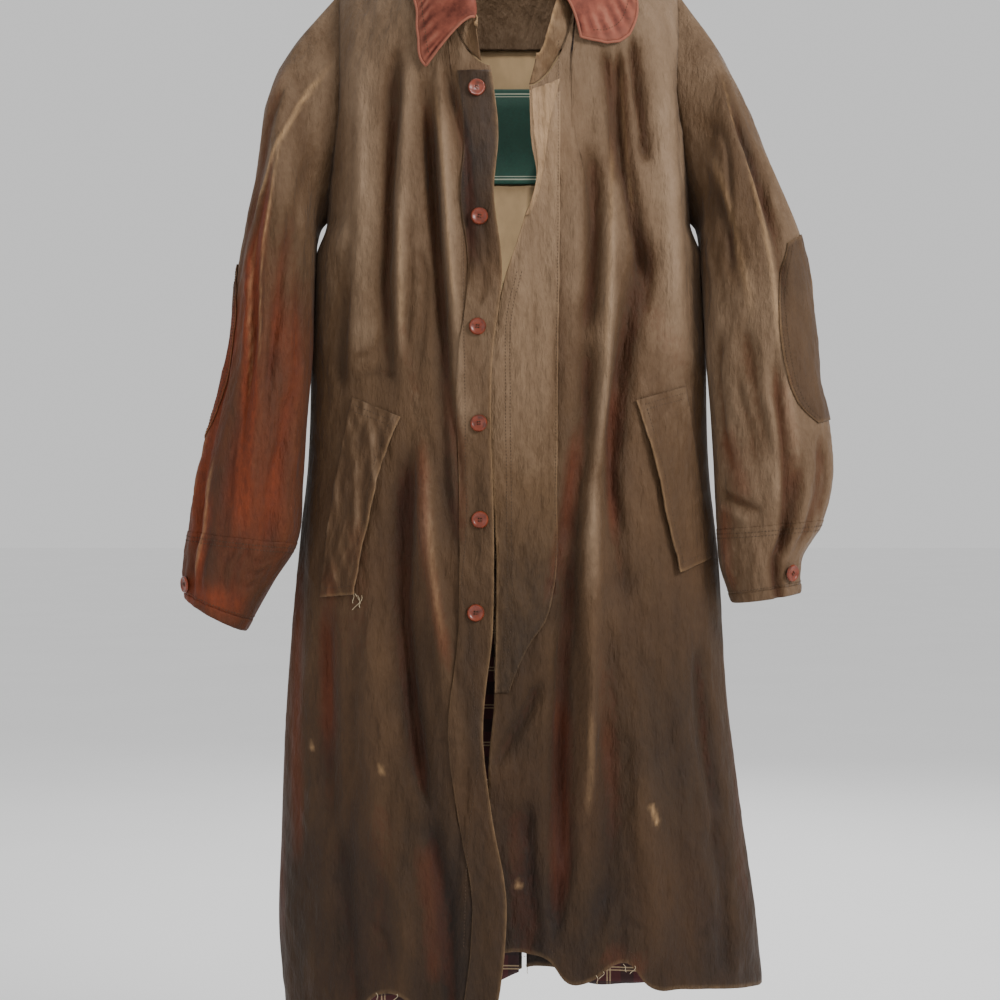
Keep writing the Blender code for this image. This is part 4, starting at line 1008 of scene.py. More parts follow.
def neckline_drop(x, corner):
    """Drop of a front neckline between the neck point and the front corner."""
    corner_drop, corner_x = corner
    across = np.clip((NECK_HALF - np.abs(x)) / (NECK_HALF - abs(corner_x)), 0.0, 1.0)
    rise = (1.0 - (1.0 - across) ** NECK_POWER) ** (1.0 / NECK_POWER)
    return neck_point_drop() + (corner_drop - neck_point_drop()) * rise


def back_neckline_drop(x):
    """Drop of the back neckline."""
    dip = np.clip(1.0 - (np.abs(x) / NECK_HALF) ** 2.2, 0.0, 1.0)
    return neck_point_drop() + NAPE_DIP * dip


def row_drop(top, hem, v):
    """Drop of a row: close rows near the shoulder, level rows below the chest."""
    upper = top + (LEVEL_DROP - top) * np.clip(v / LEVEL_SHARE, 0.0, 1.0) ** 1.6
    lower = LEVEL_DROP + (hem - LEVEL_DROP) * np.clip((v - LEVEL_SHARE) / (1.0 - LEVEL_SHARE), 0.0, 1.0)
    return np.where(v < LEVEL_SHARE, upper, lower)


def section_x(angle, width):
    """X of the body section of a half width at an angle."""
    cosine = np.cos(angle)
    size = np.abs(cosine) ** SECTION_POWER + np.abs(np.sin(angle)) ** SECTION_POWER
    return width * cosine / size ** (1.0 / SECTION_POWER)


def even_columns(edge):
    """Where columns go along a top edge so that they are evenly long, from edge points."""
    length = lengths_along(edge)
    return length / length[-1]


def panel_spot(face, side, edge_of, hem_table, top_of, scye):
    """Angle and drop on a body panel: u from the side to its front or centre edge, v down."""

    def angle_of(share, drop):
        start = scye_angle(drop, scye)
        if side < 0:
            start = math.pi - start
        stop = angle_at(edge_of(drop), drop)
        return start + (stop - start) * share

    def top_at(share):
        low = np.full_like(share, -60.0)
        high = np.full_like(share, 220.0)
        for _ in range(30):
            middle = (low + high) / 2.0
            angle = angle_of(share, middle)
            above = top_of(section_x(angle, half_width(np.cos(angle), middle))) > middle
            low = np.where(above, middle, low)
            high = np.where(above, high, middle)
        return (low + high) / 2.0

    fine = np.linspace(0.0, 1.0, 400)
    fine_top = top_at(fine)
    spread = even_columns(body_point(face, angle_of(fine, fine_top), fine_top))

    def spot(u, v):
        inside = np.clip(u, 0.0, 1.0)
        lean = (np.interp(inside, spread, fine) - inside) * COLUMN_LEAN
        share = u + lean * (1.0 - v) ** 2.5
        top = top_at(u + lean)
        level = np.full_like(u, 1200.0)
        hem_angle = angle_of(share, level)
        hem_x = section_x(hem_angle, half_width(np.cos(hem_angle), level))
        drop = row_drop(top, curve(hem_table, 1, hem_x), v)
        return angle_of(share, drop), drop

    return spot


def front_spot(face):
    """Spots of one front."""
    side = SIDES[face]
    edge = EDGES[face]

    def top_of(x):
        return np.where(x * side > NECK_HALF, shoulder_drop(x), neckline_drop(x, edge[0]))

    def edge_of(drop):
        return curve(edge, 1, drop)

    return panel_spot(face, side, edge_of, HEMS[face], top_of, FRONT_SCYE)


def vent_edge(drop, side):
    """X of a back panel's centre edge: a seam above, a vent that opens below."""
    shift = 20.0 * ease((drop - 500.0) / 720.0)
    part = SEAM_GAP / 2 + VENT_OPEN * ease((drop - VENT_TOP) / 500.0)
    return shift + side * part


def back_spot(side):
    """Spots of one back half."""

    def top_of(x):
        return np.where(np.abs(x) > NECK_HALF, shoulder_drop(x), back_neckline_drop(x))

    def edge_of(drop):
        return vent_edge(drop, side)

    return panel_spot("back", side, edge_of, BACK_HEM, top_of, BACK_SCYE)


def panel(face, spot):
    """Map of a body panel from its angles and drops."""

    def place(u, v):
        return body_point(face, *spot(u, v))

    return place


def armhole(side, theta):
    """Armhole curve: 0 at the underarm, pi/2 in front, pi at the shoulder tip."""
    tip = float(shoulder_drop(SHOULDER_HALF))
    drop = UNDERARM_DROP + (tip - UNDERARM_DROP) * (1.0 - np.cos(theta)) / 2.0
    front = np.sin(theta) >= 0
    in_front = scye_angle(drop, FRONT_SCYE)
    behind = scye_angle(drop, BACK_SCYE)
    if side < 0:
        in_front = math.pi - in_front
        behind = math.pi - behind
    face = "right" if side < 0 else "left"
    ahead = body_point(face, in_front, drop)
    back = body_point("back", behind, drop)
    return np.where(front[:, None], ahead, back)


def ring_points(side, rings, theta):
    """All rings of a sleeve at the angles theta, the armhole first."""
    clear = side * (0.4 + 1.0 * np.abs(np.sin(theta)))
    loops = [armhole(side, theta) + np.stack([clear, 0.0 * clear, 0.0 * clear], axis=-1)]
    for outer_x, outer_drop, inner_x, inner_drop, depth, y in rings:
        across = np.cos(theta) / 2.0
        x = (outer_x + inner_x) / 2.0 + (inner_x - outer_x) * across
        drop = (outer_drop + inner_drop) / 2.0 + (inner_drop - outer_drop) * across
        loops.append(np.stack([x, y - depth * np.sin(theta), -drop], axis=-1))
    return np.array(loops)


def ring_stations(side, rings):
    """Length along the sleeve's middle to each ring, mm."""
    around = np.linspace(0, 2 * math.pi, 24, endpoint=False)
    return lengths_along(ring_points(side, rings, around).mean(axis=1))


def neck_path():
    """Neck seam as places with x and drop: right front, nape, left front."""
    turn = np.linspace(0.0, math.pi / 2, 160)
    start = neck_point_drop()
    parts = []
    for face, side in SIDES.items():
        corner_drop, corner_x = EDGES[face][0]
        reach = NECK_HALF - side * corner_x
        x = side * (NECK_HALF - reach * (1.0 - np.cos(turn) ** (2.0 / NECK_POWER)))
        drop = start + (corner_drop - start) * np.sin(turn) ** (2.0 / NECK_POWER)
        share = even_columns(body_point(face, angle_at(x, drop), drop))
        parts.append((share, x, drop))
    return parts


def for_each_value(make):
    """Works a function of one value out once for each different value."""

    def quick(t):
        different, back = np.unique(t, return_inverse=True)
        return make(different)[back]

    return quick


def by_place(t, right, back, left):
    """Rows of the right front, the back or the left front, by the place round the neck."""
    rows = np.where((t < RIGHT_NECK_END)[:, None], right, back)
    return np.where((t > LEFT_NECK_START)[:, None], left, rows)


@for_each_value
def neck_seam(t):
    """Neck seam from the right front corner round the nape to the left, mm."""
    right, left = neck_path()
    inset = -(SHELL_WALL + 1.6)

    def ahead(face, reach, path):
        share, x, drop = path
        reach = np.clip(reach, 0.0, 1.0)
        return off_body(face, np.interp(reach, share, x), np.interp(reach, share, drop), inset)[0]

    way = (t - RIGHT_NECK_END) / (LEFT_NECK_START - RIGHT_NECK_END)
    x_back = -NECK_HALF * np.cos(math.pi * np.clip(way, 0.0, 1.0))
    return by_place(t, ahead("right", 1.0 - t / RIGHT_NECK_END, right),
                    off_body("back", x_back, back_neckline_drop(x_back), inset)[0],
                    ahead("left", (t - LEFT_NECK_START) / (1.0 - LEFT_NECK_START), left))


def stand_vector(t):
    """From the neck seam to the top of the stand, mm."""
    return np.stack([curve(STAND, 1, t), curve(STAND, 2, t), curve(STAND, 3, t)], axis=-1)


def neck_clear(t):
    """Short step off the neck seam, in the plane of the cloth, into the neck opening."""
    tangent = unit(neck_seam(np.clip(t + 0.01, 0, 1)) - neck_seam(np.clip(t - 0.01, 0, 1)))
    across = np.stack([-tangent[:, 2], 0.0 * t, tangent[:, 0]], axis=-1)
    inward = np.where(across[:, 2:3] < 0, -1.0, 1.0)
    return unit(across * inward + np.array([0.0, 0.0, 0.4])) * NECK_CLEAR


def stand_place(u, v):
    """Map of the collar stand: u round the neck, v up from its seam."""
    t = STAND[0][0] + (STAND[-1][0] - STAND[0][0]) * np.clip(u, 0.0, 1.0)
    seam = neck_seam(t)
    reach = stand_vector(t)
    clear = neck_clear(t)
    bow = unit(np.stack([seam[:, 0], seam[:, 1] + 16.0, 0.0 * u], axis=-1))
    return seam + clear + reach * v[:, None] + bow * (2.0 * np.sin(math.pi * v))[:, None]


def fall_place(u, v):
    """Map of the leather fall: u round the neck, v out from the fold."""
    t = FALL[0][0] + (FALL[-1][0] - FALL[0][0]) * np.clip(u, 0.0, 1.0)
    top = neck_seam(t) + stand_vector(t) + neck_clear(t)
    x = curve(FALL, 1, t)
    drop = curve(FALL, 2, t)
    ridge = shoulder_drop(x)
    drop = np.maximum(drop, ridge)
    lift = FALL_LIFT + 4.0 * ease(1.0 - (drop - ridge) / 45.0)
    edge = by_place(t, *(off_body(face, x, drop, lift)[0] for face in ("right", "back", "left")))
    start = top + unit(stand_vector(t)) * (ROLL_GAP + LEATHER_WALL)
    after = neck_seam(t + 0.01) - neck_seam(t - 0.01)
    out = unit(np.stack([-after[:, 1], after[:, 0], 0.0 * t], axis=-1))
    flat = edge - start
    flat[:, 2] = 0.0
    bend = start + unit(unit(flat) * 0.6 + out) * FALL_REACH + np.array([0.0, 0.0, 2.0])
    v = v[:, None]
    return start * (1 - v) ** 2 + bend * 2 * v * (1 - v) + edge * v ** 2


def linear(code):
    """Linear colour of an sRGB hex value."""
    shares = [int(code[i:i + 2], 16) / 255.0 for i in (1, 3, 5)]
    return tuple(c / 12.92 if c <= 0.04045 else ((c + 0.055) / 1.055) ** 2.4 for c in shares)


def colour_field(name, code, description):
    """A colour property of the coat."""
    return FloatVectorProperty(name=name, description=description, subtype="COLOR", size=3,
                               min=0.0, max=1.0, default=linear(code))


def length_field(name, millimetres, description):
    """A length property of the coat."""
    return FloatProperty(name=name, description=description, subtype="DISTANCE", unit="LENGTH",
                         min=0.0, default=millimetres * MM)


class CoatColours(bpy.types.PropertyGroup):
    """Colours of the cloths and trims"""

    # The next five colours are one ramp of painted light and shade on the waxed cotton: the first is painted
    # highlight on lit ridges and upper parts, then lit and middle down the coat, low as painted shade towards
    # the hem, and deep as painted shade in fold troughs; the label also mottles towards deep
    painted_highlight: colour_field("Bloom", "#9a8169", "Waxed cotton where a ridge has dried pale")
    lit: colour_field("Lit", "#7a634c", "Waxed cotton near the shoulders")
    middle: colour_field("Middle", "#523b24", "Waxed cotton at the waist")
    low: colour_field("Low", "#3a2611", "Waxed cotton near the hem")
    deep: colour_field("Deep", "#1e1106", "Waxed cotton deep in a fold")
    rust: colour_field("Rust", "#7c3310", "Bright streaks where the wax has worn")
    rust_deep: colour_field("Deep rust", "#451c08", "Dark streaks where the wax has worn")
    # Rubbed is pale wear on seams and edges, and is also drawn as painted highlight along ridge crests
    rubbed: colour_field("Rubbed", "#b08c62", "Seams and edges rubbed pale")
    hide: colour_field("Hide", "#7f4435", "Collar leather")
    # Deep hide is painted shade in the collar's pucker troughs; hide edge is both the rubbed edge and painted
    # highlight on pucker crests
    hide_deep: colour_field("Deep hide", "#4a2018", "Collar leather in its creases")
    hide_edge: colour_field("Hide edge", "#9c6450", "Collar leather rubbed along its edge")
    tan: colour_field("Tan", "#d8b688", "Yoke lining")
    check_ground: colour_field("Check ground", "#4a1a1c", "Ground of the check lining")
    check_bar: colour_field("Check bar", "#1d1412", "Dark bars of the check lining")
    check_line: colour_field("Check line", "#c3a983", "Thin lines of the check lining")
    green: colour_field("Green", "#1f5a48", "Label")
    label_line: colour_field("Label line", "#c9cdb4", "Border woven in the label")
    horn: colour_field("Horn", "#6e2810", "Buttons")
    thread: colour_field("Thread", "#241a10", "Sewing thread")
    thread_pale: colour_field("Pale thread", "#d8c7a4", "Loose thread ends")


class CoatSizes(bpy.types.PropertyGroup):
    """Real sizes of the finishes"""

    thread_pitch: length_field("Thread pitch", 1.2, "Spacing of the weave, drawn coarse to show")
    streak: length_field("Streak", 24.0, "Width of the wax streaks")
    blotch: length_field("Blotch", 140.0, "Width of the broad patches")
    crinkle: length_field("Crinkle", 34.0, "Spacing of the dry creases")
    grain: length_field("Grain", 3.0, "Spacing of the leather grain")
    check: length_field("Check", 46.0, "Repeat of the check lining")
    stitch: length_field("Stitch", 2.7, "Length of a stitch")
    pitch: length_field("Stitch pitch", 3.8, "Spacing of the stitches")
    wall: length_field("Cloth", 1.3, "Thickness of the waxed cotton")
    pipe: length_field("Piping", 1.5, "Radius of the leather collar's piped edge")


def colours():
    """The coat's colours."""
    return bpy.context.scene.coat_colours


def sizes():
    """The coat's sizes, metres."""
    return bpy.context.scene.coat_sizes


def add(tree, kind, inputs=None, out=0, stops=(), **fields):
    """Adds a node with its fields, colour stops and inputs, and gives one of its outputs."""
    made = tree.nodes.new(kind)
    for key, value in fields.items():
        setattr(made, key, value)
    for key, value in (inputs or {}).items():
        socket = made.inputs[key]
        if isinstance(value, bpy.types.NodeSocket):
            tree.links.new(value, socket)
        elif socket.type == "RGBA":
            socket.default_value = (*value, 1.0)
        else:
            socket.default_value = value
    if stops:
        elements = made.color_ramp.elements
        while len(elements) < len(stops):
            elements.new(0.5)
        for element, (place, colour) in zip(elements, stops):
            element.position = place
            element.color = (*colour, 1.0)
    return made.outputs[out] if made.outputs else None


def mottle(tree, place, size, detail=4.0, stretch=1.0, kind="FBM", rough=0.55):
    """Noise whose spots are a real size wide, metres, and longer along Z by stretch."""
    mapped = add(tree, "ShaderNodeMapping", {"Vector": place, "Scale": (1.0, 1.0, 1.0 / stretch)})
    return add(tree, "ShaderNodeTexNoise",
               {"Vector": mapped, "Scale": 1.0 / size, "Detail": detail, "Roughness": rough},
               "Fac", noise_type=kind)


def laid_over(tree, base, colour, amount, share=1.0, shift=0.0):
    """A colour laid over another as far as an amount, times share plus shift, says."""
    factor = add(tree, "ShaderNodeMath", {0: amount, 1: share, 2: shift}, operation="MULTIPLY_ADD")
    return add(tree, "ShaderNodeMix", {0: factor, 6: base, 7: colour}, 2, data_type="RGBA",
               clamp_factor=True)


def summed(tree, tone, parts):
    """A tone with shares of other amounts added."""
    for amount, share in parts:
        tone = add(tree, "ShaderNodeMath", {0: amount, 1: share, 2: tone}, operation="MULTIPLY_ADD")
    return tone


def raise_by(tree, heights):
    """Bump from heights and their real sizes, metres, one on another."""
    normal = None
    for height, size in heights:
        inputs = {"Height": height, "Distance": size, "Strength": 1.0}
        if normal:
            inputs["Normal"] = normal
        normal = add(tree, "ShaderNodeBump", inputs, "Normal")
    return normal


def weave(tree, place, pitch):
    """Over and under threads at a real pitch along X and Z."""
    inputs = {"Vector": place, "Scale": math.pi / (10.0 * pitch), "Distortion": 0.6, "Detail": 1.0,
              "Detail Scale": 0.4}
    bands = [add(tree, "ShaderNodeTexWave", inputs, "Fac", wave_type="BANDS", bands_direction=way)
             for way in ("X", "Z")]
    return add(tree, "ShaderNodeMath", {0: bands[0], 1: bands[1]}, operation="MAXIMUM")


def waxed_cotton(tree, darker=0.0):
    """Woven cotton proofed with wax: matt olive, rust-brown in streaks and fold troughs, with painted
    highlight on ridges and painted shade in folds and towards the hem.
    """
    c = colours()
    s = sizes()
    place = add(tree, "ShaderNodeTexCoord", out="Object")
    streaky = mottle(tree, place, s.streak, 5.0, 6.0)
    broad = mottle(tree, place, s.blotch, 3.0, 1.6)
    fine = mottle(tree, place, CLOTH_SPOT, 6.0, 1.5)
    crackle = mottle(tree, place, s.crinkle, 5.0, 1.8, "RIDGED_MULTIFRACTAL", 0.5)
    wrinkle = mottle(tree, place, 0.5 * s.crinkle, 6.0, 3.0, "FBM", 0.6)
    drape = mottle(tree, place, 2.2 * s.crinkle, 4.0, 4.0, "RIDGED_MULTIFRACTAL", 0.5)
    crease, rust, pale = (add(tree, "ShaderNodeAttribute", out="Fac", attribute_name=name)
                          for name in ("crease", "rust", "pale"))
    # Painted light and shade: lighter near the shoulders and darker towards the hem, by height
    rise = add(tree, "ShaderNodeSeparateXYZ", {"Vector": place}, "Z")
    level = add(tree, "ShaderNodeMapRange",
                {"Value": rise, "From Min": -1.15, "From Max": -0.02,
                 "To Min": -0.25 - darker, "To Max": 0.29 - darker})
    # Painted light and shade: the tone ramp runs from painted shade in fold troughs to painted highlight on
    # lit ridges, driven by height and the fold-shading attribute; the noises add random tone
    tone = summed(tree, level, ((streaky, 0.24), (broad, 0.30), (fine, 0.16), (crackle, 0.16),
                                (crease, 0.26)))
    base = add(tree, "ShaderNodeValToRGB", {"Fac": tone}, "Color",
               ((0.0, c.deep), (0.26, c.low), (0.50, c.middle), (0.74, c.lit), (1.0, c.painted_highlight)))
    # Rust in broken streaks, and broad old stains
    broken = add(tree, "ShaderNodeMath", {0: fine, 1: -0.5, 2: 0.1}, operation="MULTIPLY_ADD")
    streaked = add(tree, "ShaderNodeMath", {0: rust, 1: streaky}, operation="MULTIPLY")
    worn = summed(tree, broken, ((streaked, 1.9),))
    base = laid_over(tree, base, laid_over(tree, c.rust_deep, c.rust, fine), worn, 0.85)
    base = laid_over(tree, base, c.rust_deep, broad, 0.352, -0.1584)
    # Pale where edges are rubbed, and painted highlight along ridge crests
    patchy = add(tree, "ShaderNodeMath", {0: fine, 1: 1.3, 2: 0.1}, operation="MULTIPLY_ADD")
    rubbed = add(tree, "ShaderNodeMath", {0: pale, 1: patchy}, operation="MULTIPLY")
    base = laid_over(tree, base, c.rubbed, rubbed)
    gloss = add(tree, "ShaderNodeMapRange", {"Value": streaky, "To Min": 0.58, "To Max": 0.80})
    threads = weave(tree, place, s.thread_pitch)
    bump = raise_by(tree, ((drape, 0.011), (crackle, 0.0055), (wrinkle, 0.0080), (fine, 0.0008),
                           (threads, 0.00008)))
    return {"Base Color": base, "Roughness": gloss, "Specular IOR Level": 0.28, "Normal": bump,
            "Sheen Weight": 0.04, "Sheen Roughness": 0.45}


def dark_waxed_cotton(tree):
    """The same cloth where it has kept its wax, on elbow patches and inner sides."""
    return waxed_cotton(tree, 0.12)


def hide_leather(tree):
    """Pigmented cowhide: pebbled grain, semi-gloss, rubbed pale along its piped edge."""
    c = colours()
    place = add(tree, "ShaderNodeTexCoord", out="Object")
    broad = mottle(tree, place, HIDE_PATCH, 4.0)
    fine = mottle(tree, place, CLOTH_SPOT, 5.0)
    grain = add(tree, "ShaderNodeTexVoronoi", {"Vector": place, "Scale": 1.0 / sizes().grain},
                "Distance", feature="SMOOTH_F1")
    crease, pale = (add(tree, "ShaderNodeAttribute", out="Fac", attribute_name=name)
                    for name in ("crease", "pale"))
    # Painted shade in pucker troughs and painted highlight on crests from the fold-shading attribute, with
    # random patches
    tone = summed(tree, 0.0, ((broad, 0.6), (fine, 0.4), (crease, 0.4)))
    base = add(tree, "ShaderNodeValToRGB", {"Fac": tone}, "Color",
               ((0.25, c.hide_deep), (0.55, c.hide), (0.9, c.hide_edge)))
    base = laid_over(tree, base, c.hide_edge, pale)
    gloss = add(tree, "ShaderNodeMapRange", {"Value": fine, "To Min": 0.60, "To Max": 0.76})
    bump = raise_by(tree, ((broad, 0.0016), (fine, 0.0005), (grain, 0.00016)))
    return {"Base Color": base, "Roughness": gloss, "Specular IOR Level": 0.18, "Normal": bump}


def tan_lining(tree):
    """Plain woven cotton lining, soft and matt, a little soiled."""
    c = colours()
    place = add(tree, "ShaderNodeTexCoord", out="Object")
    broad = mottle(tree, place, TAN_PATCH, 4.0, 2.0)
    threads = weave(tree, place, sizes().thread_pitch)
    base = laid_over(tree, c.tan, c.middle, broad, 1.2, -0.36)
    base = laid_over(tree, base, c.low, threads, 0.12)
    bump = raise_by(tree, ((broad, 0.003), (threads, 0.00012)))
    return {"Base Color": base, "Roughness": 0.85, "Normal": bump}


def check_lining(tree):
    """Brushed cotton woven in a plain check: dark bars both ways and thin pale lines between."""
    c = colours()
    s = sizes()
    place = add(tree, "ShaderNodeTexCoord", out="Object")
    colour = c.check_ground
    for axis in ("X", "Z"):
        across = add(tree, "ShaderNodeSeparateXYZ", {"Vector": place}, axis)
        repeats = add(tree, "ShaderNodeMath", {0: across, 1: 1.0 / s.check}, operation="MULTIPLY")
        share = add(tree, "ShaderNodeMath", {0: repeats}, operation="FRACT")
        bar = add(tree, "ShaderNodeMath", {0: share, 1: 0.34}, operation="LESS_THAN")
        colour = laid_over(tree, colour, c.check_bar, bar, 0.62)
        for middle in (0.64, 0.72):
            line = add(tree, "ShaderNodeMath", {0: share, 1: middle, 2: 0.018}, operation="COMPARE")
            colour = laid_over(tree, colour, c.check_line, line, 0.7)
    nap = mottle(tree, place, NAP_SPOT, 5.0)
    colour = laid_over(tree, colour, c.check_bar, nap, 0.3)
    bump = raise_by(tree, ((nap, 0.0004), (weave(tree, place, s.thread_pitch), 0.0001)))
    return {"Base Color": colour, "Roughness": 0.9, "Sheen Weight": 0.15, "Normal": bump}


def label_weave(tree):
    """Damask woven label, bare, with a plain woven border."""
    c = colours()
    spot = add(tree, "ShaderNodeUVMap", out="UV", uv_map="cloth")
    near = 1.0
    for axis, low, high in (("X", LABEL_BOX[0], LABEL_BOX[2]), ("Y", LABEL_BOX[1], LABEL_BOX[3])):
        half = (high - low) * MM / 2
        across = add(tree, "ShaderNodeSeparateXYZ", {"Vector": spot}, axis)
        off_middle = add(tree, "ShaderNodeMath", {0: across, 1: half}, operation="SUBTRACT")
        way = add(tree, "ShaderNodeMath", {0: off_middle}, operation="ABSOLUTE")
        gap = add(tree, "ShaderNodeMath", {0: half, 1: way}, operation="SUBTRACT")
        near = add(tree, "ShaderNodeMath", {0: near, 1: gap}, operation="MINIMUM")
    outer = add(tree, "ShaderNodeMath", {0: near, 1: 0.006, 2: 0.0008}, operation="COMPARE")
    inner = add(tree, "ShaderNodeMath", {0: near, 1: 0.0095, 2: 0.0005}, operation="COMPARE")
    line = add(tree, "ShaderNodeMath", {0: outer, 1: inner}, operation="MAXIMUM")
    place = add(tree, "ShaderNodeTexCoord", out="Object")
    fine = mottle(tree, place, LABEL_SPOT, 4.0)
    ground = laid_over(tree, c.green, c.deep, fine, 0.5)
    colour = laid_over(tree, ground, c.label_line, line, 0.85)
    threads = weave(tree, place, sizes().thread_pitch * 0.7)
    bump = raise_by(tree, ((threads, 0.00012), (fine, 0.0002)))
    return {"Base Color": colour, "Roughness": 0.7, "Sheen Weight": 0.2, "Normal": bump}


def button_horn(tree):
    """Turned and polished horn-like resin with faint cloudy streaks."""
    c = colours()
    cloud = mottle(tree, add(tree, "ShaderNodeTexCoord", out="Object"), HORN_CLOUD, 4.0)
    base = add(tree, "ShaderNodeValToRGB", {"Fac": cloud}, "Color",
               ((0.3, c.rust_deep), (0.5, c.horn), (0.75, c.rust)))
    return {"Base Color": base, "Roughness": 0.34, "Coat Weight": 0.12, "Coat Roughness": 0.12,
            "Normal": raise_by(tree, ((cloud, 0.0001),))}


def sewing_thread(tree, tint=None):
    """Twisted cotton sewing thread, matt."""
    twist = mottle(tree, add(tree, "ShaderNodeTexCoord", out="Object"), THREAD_TWIST, 3.0)
    base = laid_over(tree, tint or colours().thread, colours().middle, twist)
    return {"Base Color": base, "Roughness": 0.8, "Normal": raise_by(tree, ((twist, 0.0001),))}


def loose_thread(tree):
    """Undyed cotton core of frayed thread ends."""
    return sewing_thread(tree, colours().thread_pale)


def studio_floor(tree):
    """Pale painted floor, dead matt."""
    cloud = mottle(tree, add(tree, "ShaderNodeTexCoord", out="Object"), FLOOR_CLOUD, 2.0)
    base = add(tree, "ShaderNodeValToRGB", {"Fac": cloud}, "Color",
               ((0.0, linear("#f4f4f4")), (1.0, linear("#fbfbfb"))))
    return {"Base Color": base, "Roughness": 0.95, "Specular IOR Level": 0.1}


FINISHES = {
    "worn waxed cotton": waxed_cotton,
    "dark waxed cotton": dark_waxed_cotton,
    "collar cowhide": hide_leather,
    "tan cotton lining": tan_lining,
    "brushed check lining": check_lining,
    "woven label": label_weave,
    "polished horn": button_horn,
    "sewing thread": sewing_thread,
    "frayed thread": loose_thread,
    "pale floor paint": studio_floor,
}


def finish_named(name):
    """The material of that name, made when it is first asked for."""
    found = bpy.data.materials.get(name)
    if found:
        return found
    made = bpy.data.materials.new(name)
    made.use_nodes = True
    tree = made.node_tree
    tree.nodes.clear()
    shader = add(tree, "ShaderNodeBsdfPrincipled", FINISHES[name](tree), "BSDF")
    add(tree, "ShaderNodeOutputMaterial", {"Surface": shader})
    return made


def body_tones(face):
    """Tone layers of a panel or of what lies on it, from placed points."""

    def tones(u, v, points):
        x = points[:, 0]
        drop = -points[:, 2]
        height = fold_height(FOLDS[face], x, drop) + streaks(CREASES[face], x, drop)
        # Pale lines are rubbed wear and painted highlights along ridge crests; the pale hem and front edges
        # are rubbed wear
        pale = 0.6 * streaks(PALE[face], x, drop)
        near_hem = curve(HEMS[face], 1, x) - drop
        pale += 0.25 * np.exp(-(near_hem / 3.0) ** 2)
        if face in EDGES:
            pale += 0.18 * np.exp(-((x - curve(EDGES[face], 1, drop)) / 2.5) ** 2)
        # Rust-brown along the streak tables, and added in fold troughs
        rust = 0.65 * streaks(RUST[face], x, drop) + 0.3 * ease(-height / 12.0)
        # Painted light: the face drawn lighter over a band of drops
        strength, start, start_run, end, end_run = PAINTED_LIGHT[face]
        dry = strength * ease((drop - start) / start_run) * (1.0 - ease((drop - end) / end_run))
        # Painted shade in fold troughs and painted highlight on ridges, from the folds' heights, halved
        # towards the hem
        depth = np.clip(height / 10.0, -1.2, 1.2) * (1.0 - 0.5 * ease((drop - 600.0) / 200.0))
        return {"crease": depth + dry, "rust": rust, "pale": pale}

    return tones


def sleeve_tones(sleeve, turn_range, along_range):
    """Tone layers of a stretch of a sleeve."""

    def tones(u, v, points):
        degrees = turn_range[0] + (turn_range[1] - turn_range[0]) * u
        along = along_range[0] + (along_range[1] - along_range[0]) * v
        height = ring_folds(sleeve["folds"], degrees, along) + wrapped(sleeve["creases"], degrees, along)
        below = ease((along - 110.0) / 200.0)
        worn = sleeve["worn"] * below
        # Painted shade in fold troughs and painted highlight on ridges from the folds' heights, plus painted
        # light on the wearer's left sleeve and painted shade on the right one below the elbow
        return {"crease": np.clip(height / 8.0, -1.2, 1.2) + sleeve["dry"] * below,
                # Rust-brown along the streak tables, in fold troughs, and below the elbow
                "rust": wrapped(sleeve["rust"], degrees, along) + 0.25 * ease(-height / 8.0) + worn,
                "pale": 0.6 * wrapped(sleeve["pale"], degrees, along)}

    return tones


def plain_tones(u, v, points):
    """Even tone."""
    return {"crease": 0.0 * u, "rust": 0.0 * u, "pale": 0.0 * u}


def placed(name, data, finish):
    """An object of the coat from its mesh, with smooth faces and its finish."""
    data.shade_smooth()
    data.materials.append(finish_named(finish))
    piece = bpy.data.objects.new(name, data)
    bpy.context.scene.collection.objects.link(piece)
    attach(piece, "root")
    return piece


def cloth(name, grid, place, away, finish, wall, flat, lining=None, tones=plain_tones, closed=False):
    """A sheet of cloth: a flat grid set on its form, toned, and given its thickness.

    away is a point that the sheet's good side faces away from, mm.
    """
    mesh = bmesh.new()
    bmesh.ops.create_grid(mesh, x_segments=grid[0], y_segments=grid[1], size=0.5)
    bmesh.ops.translate(mesh, vec=(0.5, 0.5, 0.0), verts=mesh.verts)
    flat_spots = np.array([vert.co[:] for vert in mesh.verts])
    u, v = flat_spots[:, 0], flat_spots[:, 1]
    spots = place(u, v)
    found = tones(u, v, spots)
    layers = [(mesh.verts.layers.float.new(key), values) for key, values in found.items()]
    map_layer = mesh.loops.layers.uv.new("cloth")
    for face in mesh.faces:
        for loop in face.loops:
            loop[map_layer].uv = (loop.vert.co.x * flat[0], loop.vert.co.y * flat[1])
    for index, vert in enumerate(mesh.verts):
        for tone_layer, values in layers:
            vert[tone_layer] = values[index]
        vert.co = spots[index] * MM
    if closed:
        bmesh.ops.remove_doubles(mesh, verts=mesh.verts, dist=0.00001)
    mesh.normal_update()
    centre = Vector(away) * MM
    if sum(vert.normal.dot(vert.co - centre) for vert in mesh.verts) < 0:
        bmesh.ops.reverse_faces(mesh, faces=mesh.faces)
    data = bpy.data.meshes.new(name)
    mesh.to_mesh(data)
    mesh.free()
    piece = placed(name, data, finish)
    thick = piece.modifiers.new("Thickness", "SOLIDIFY")
    thick.thickness = wall * MM
    thick.offset = -1.0
    if lining:
        data.materials.append(finish_named(lining))
        thick.material_offset = 1
    return piece


def sheet(nodes):
    """Hides the parts of the model that a cloth piece stands for."""
    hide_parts(*nodes)


def dressed(name, data, finish):
    """A piece of the coat from its mesh, with its finish."""
    piece = placed(name, data, finish)
    return piece


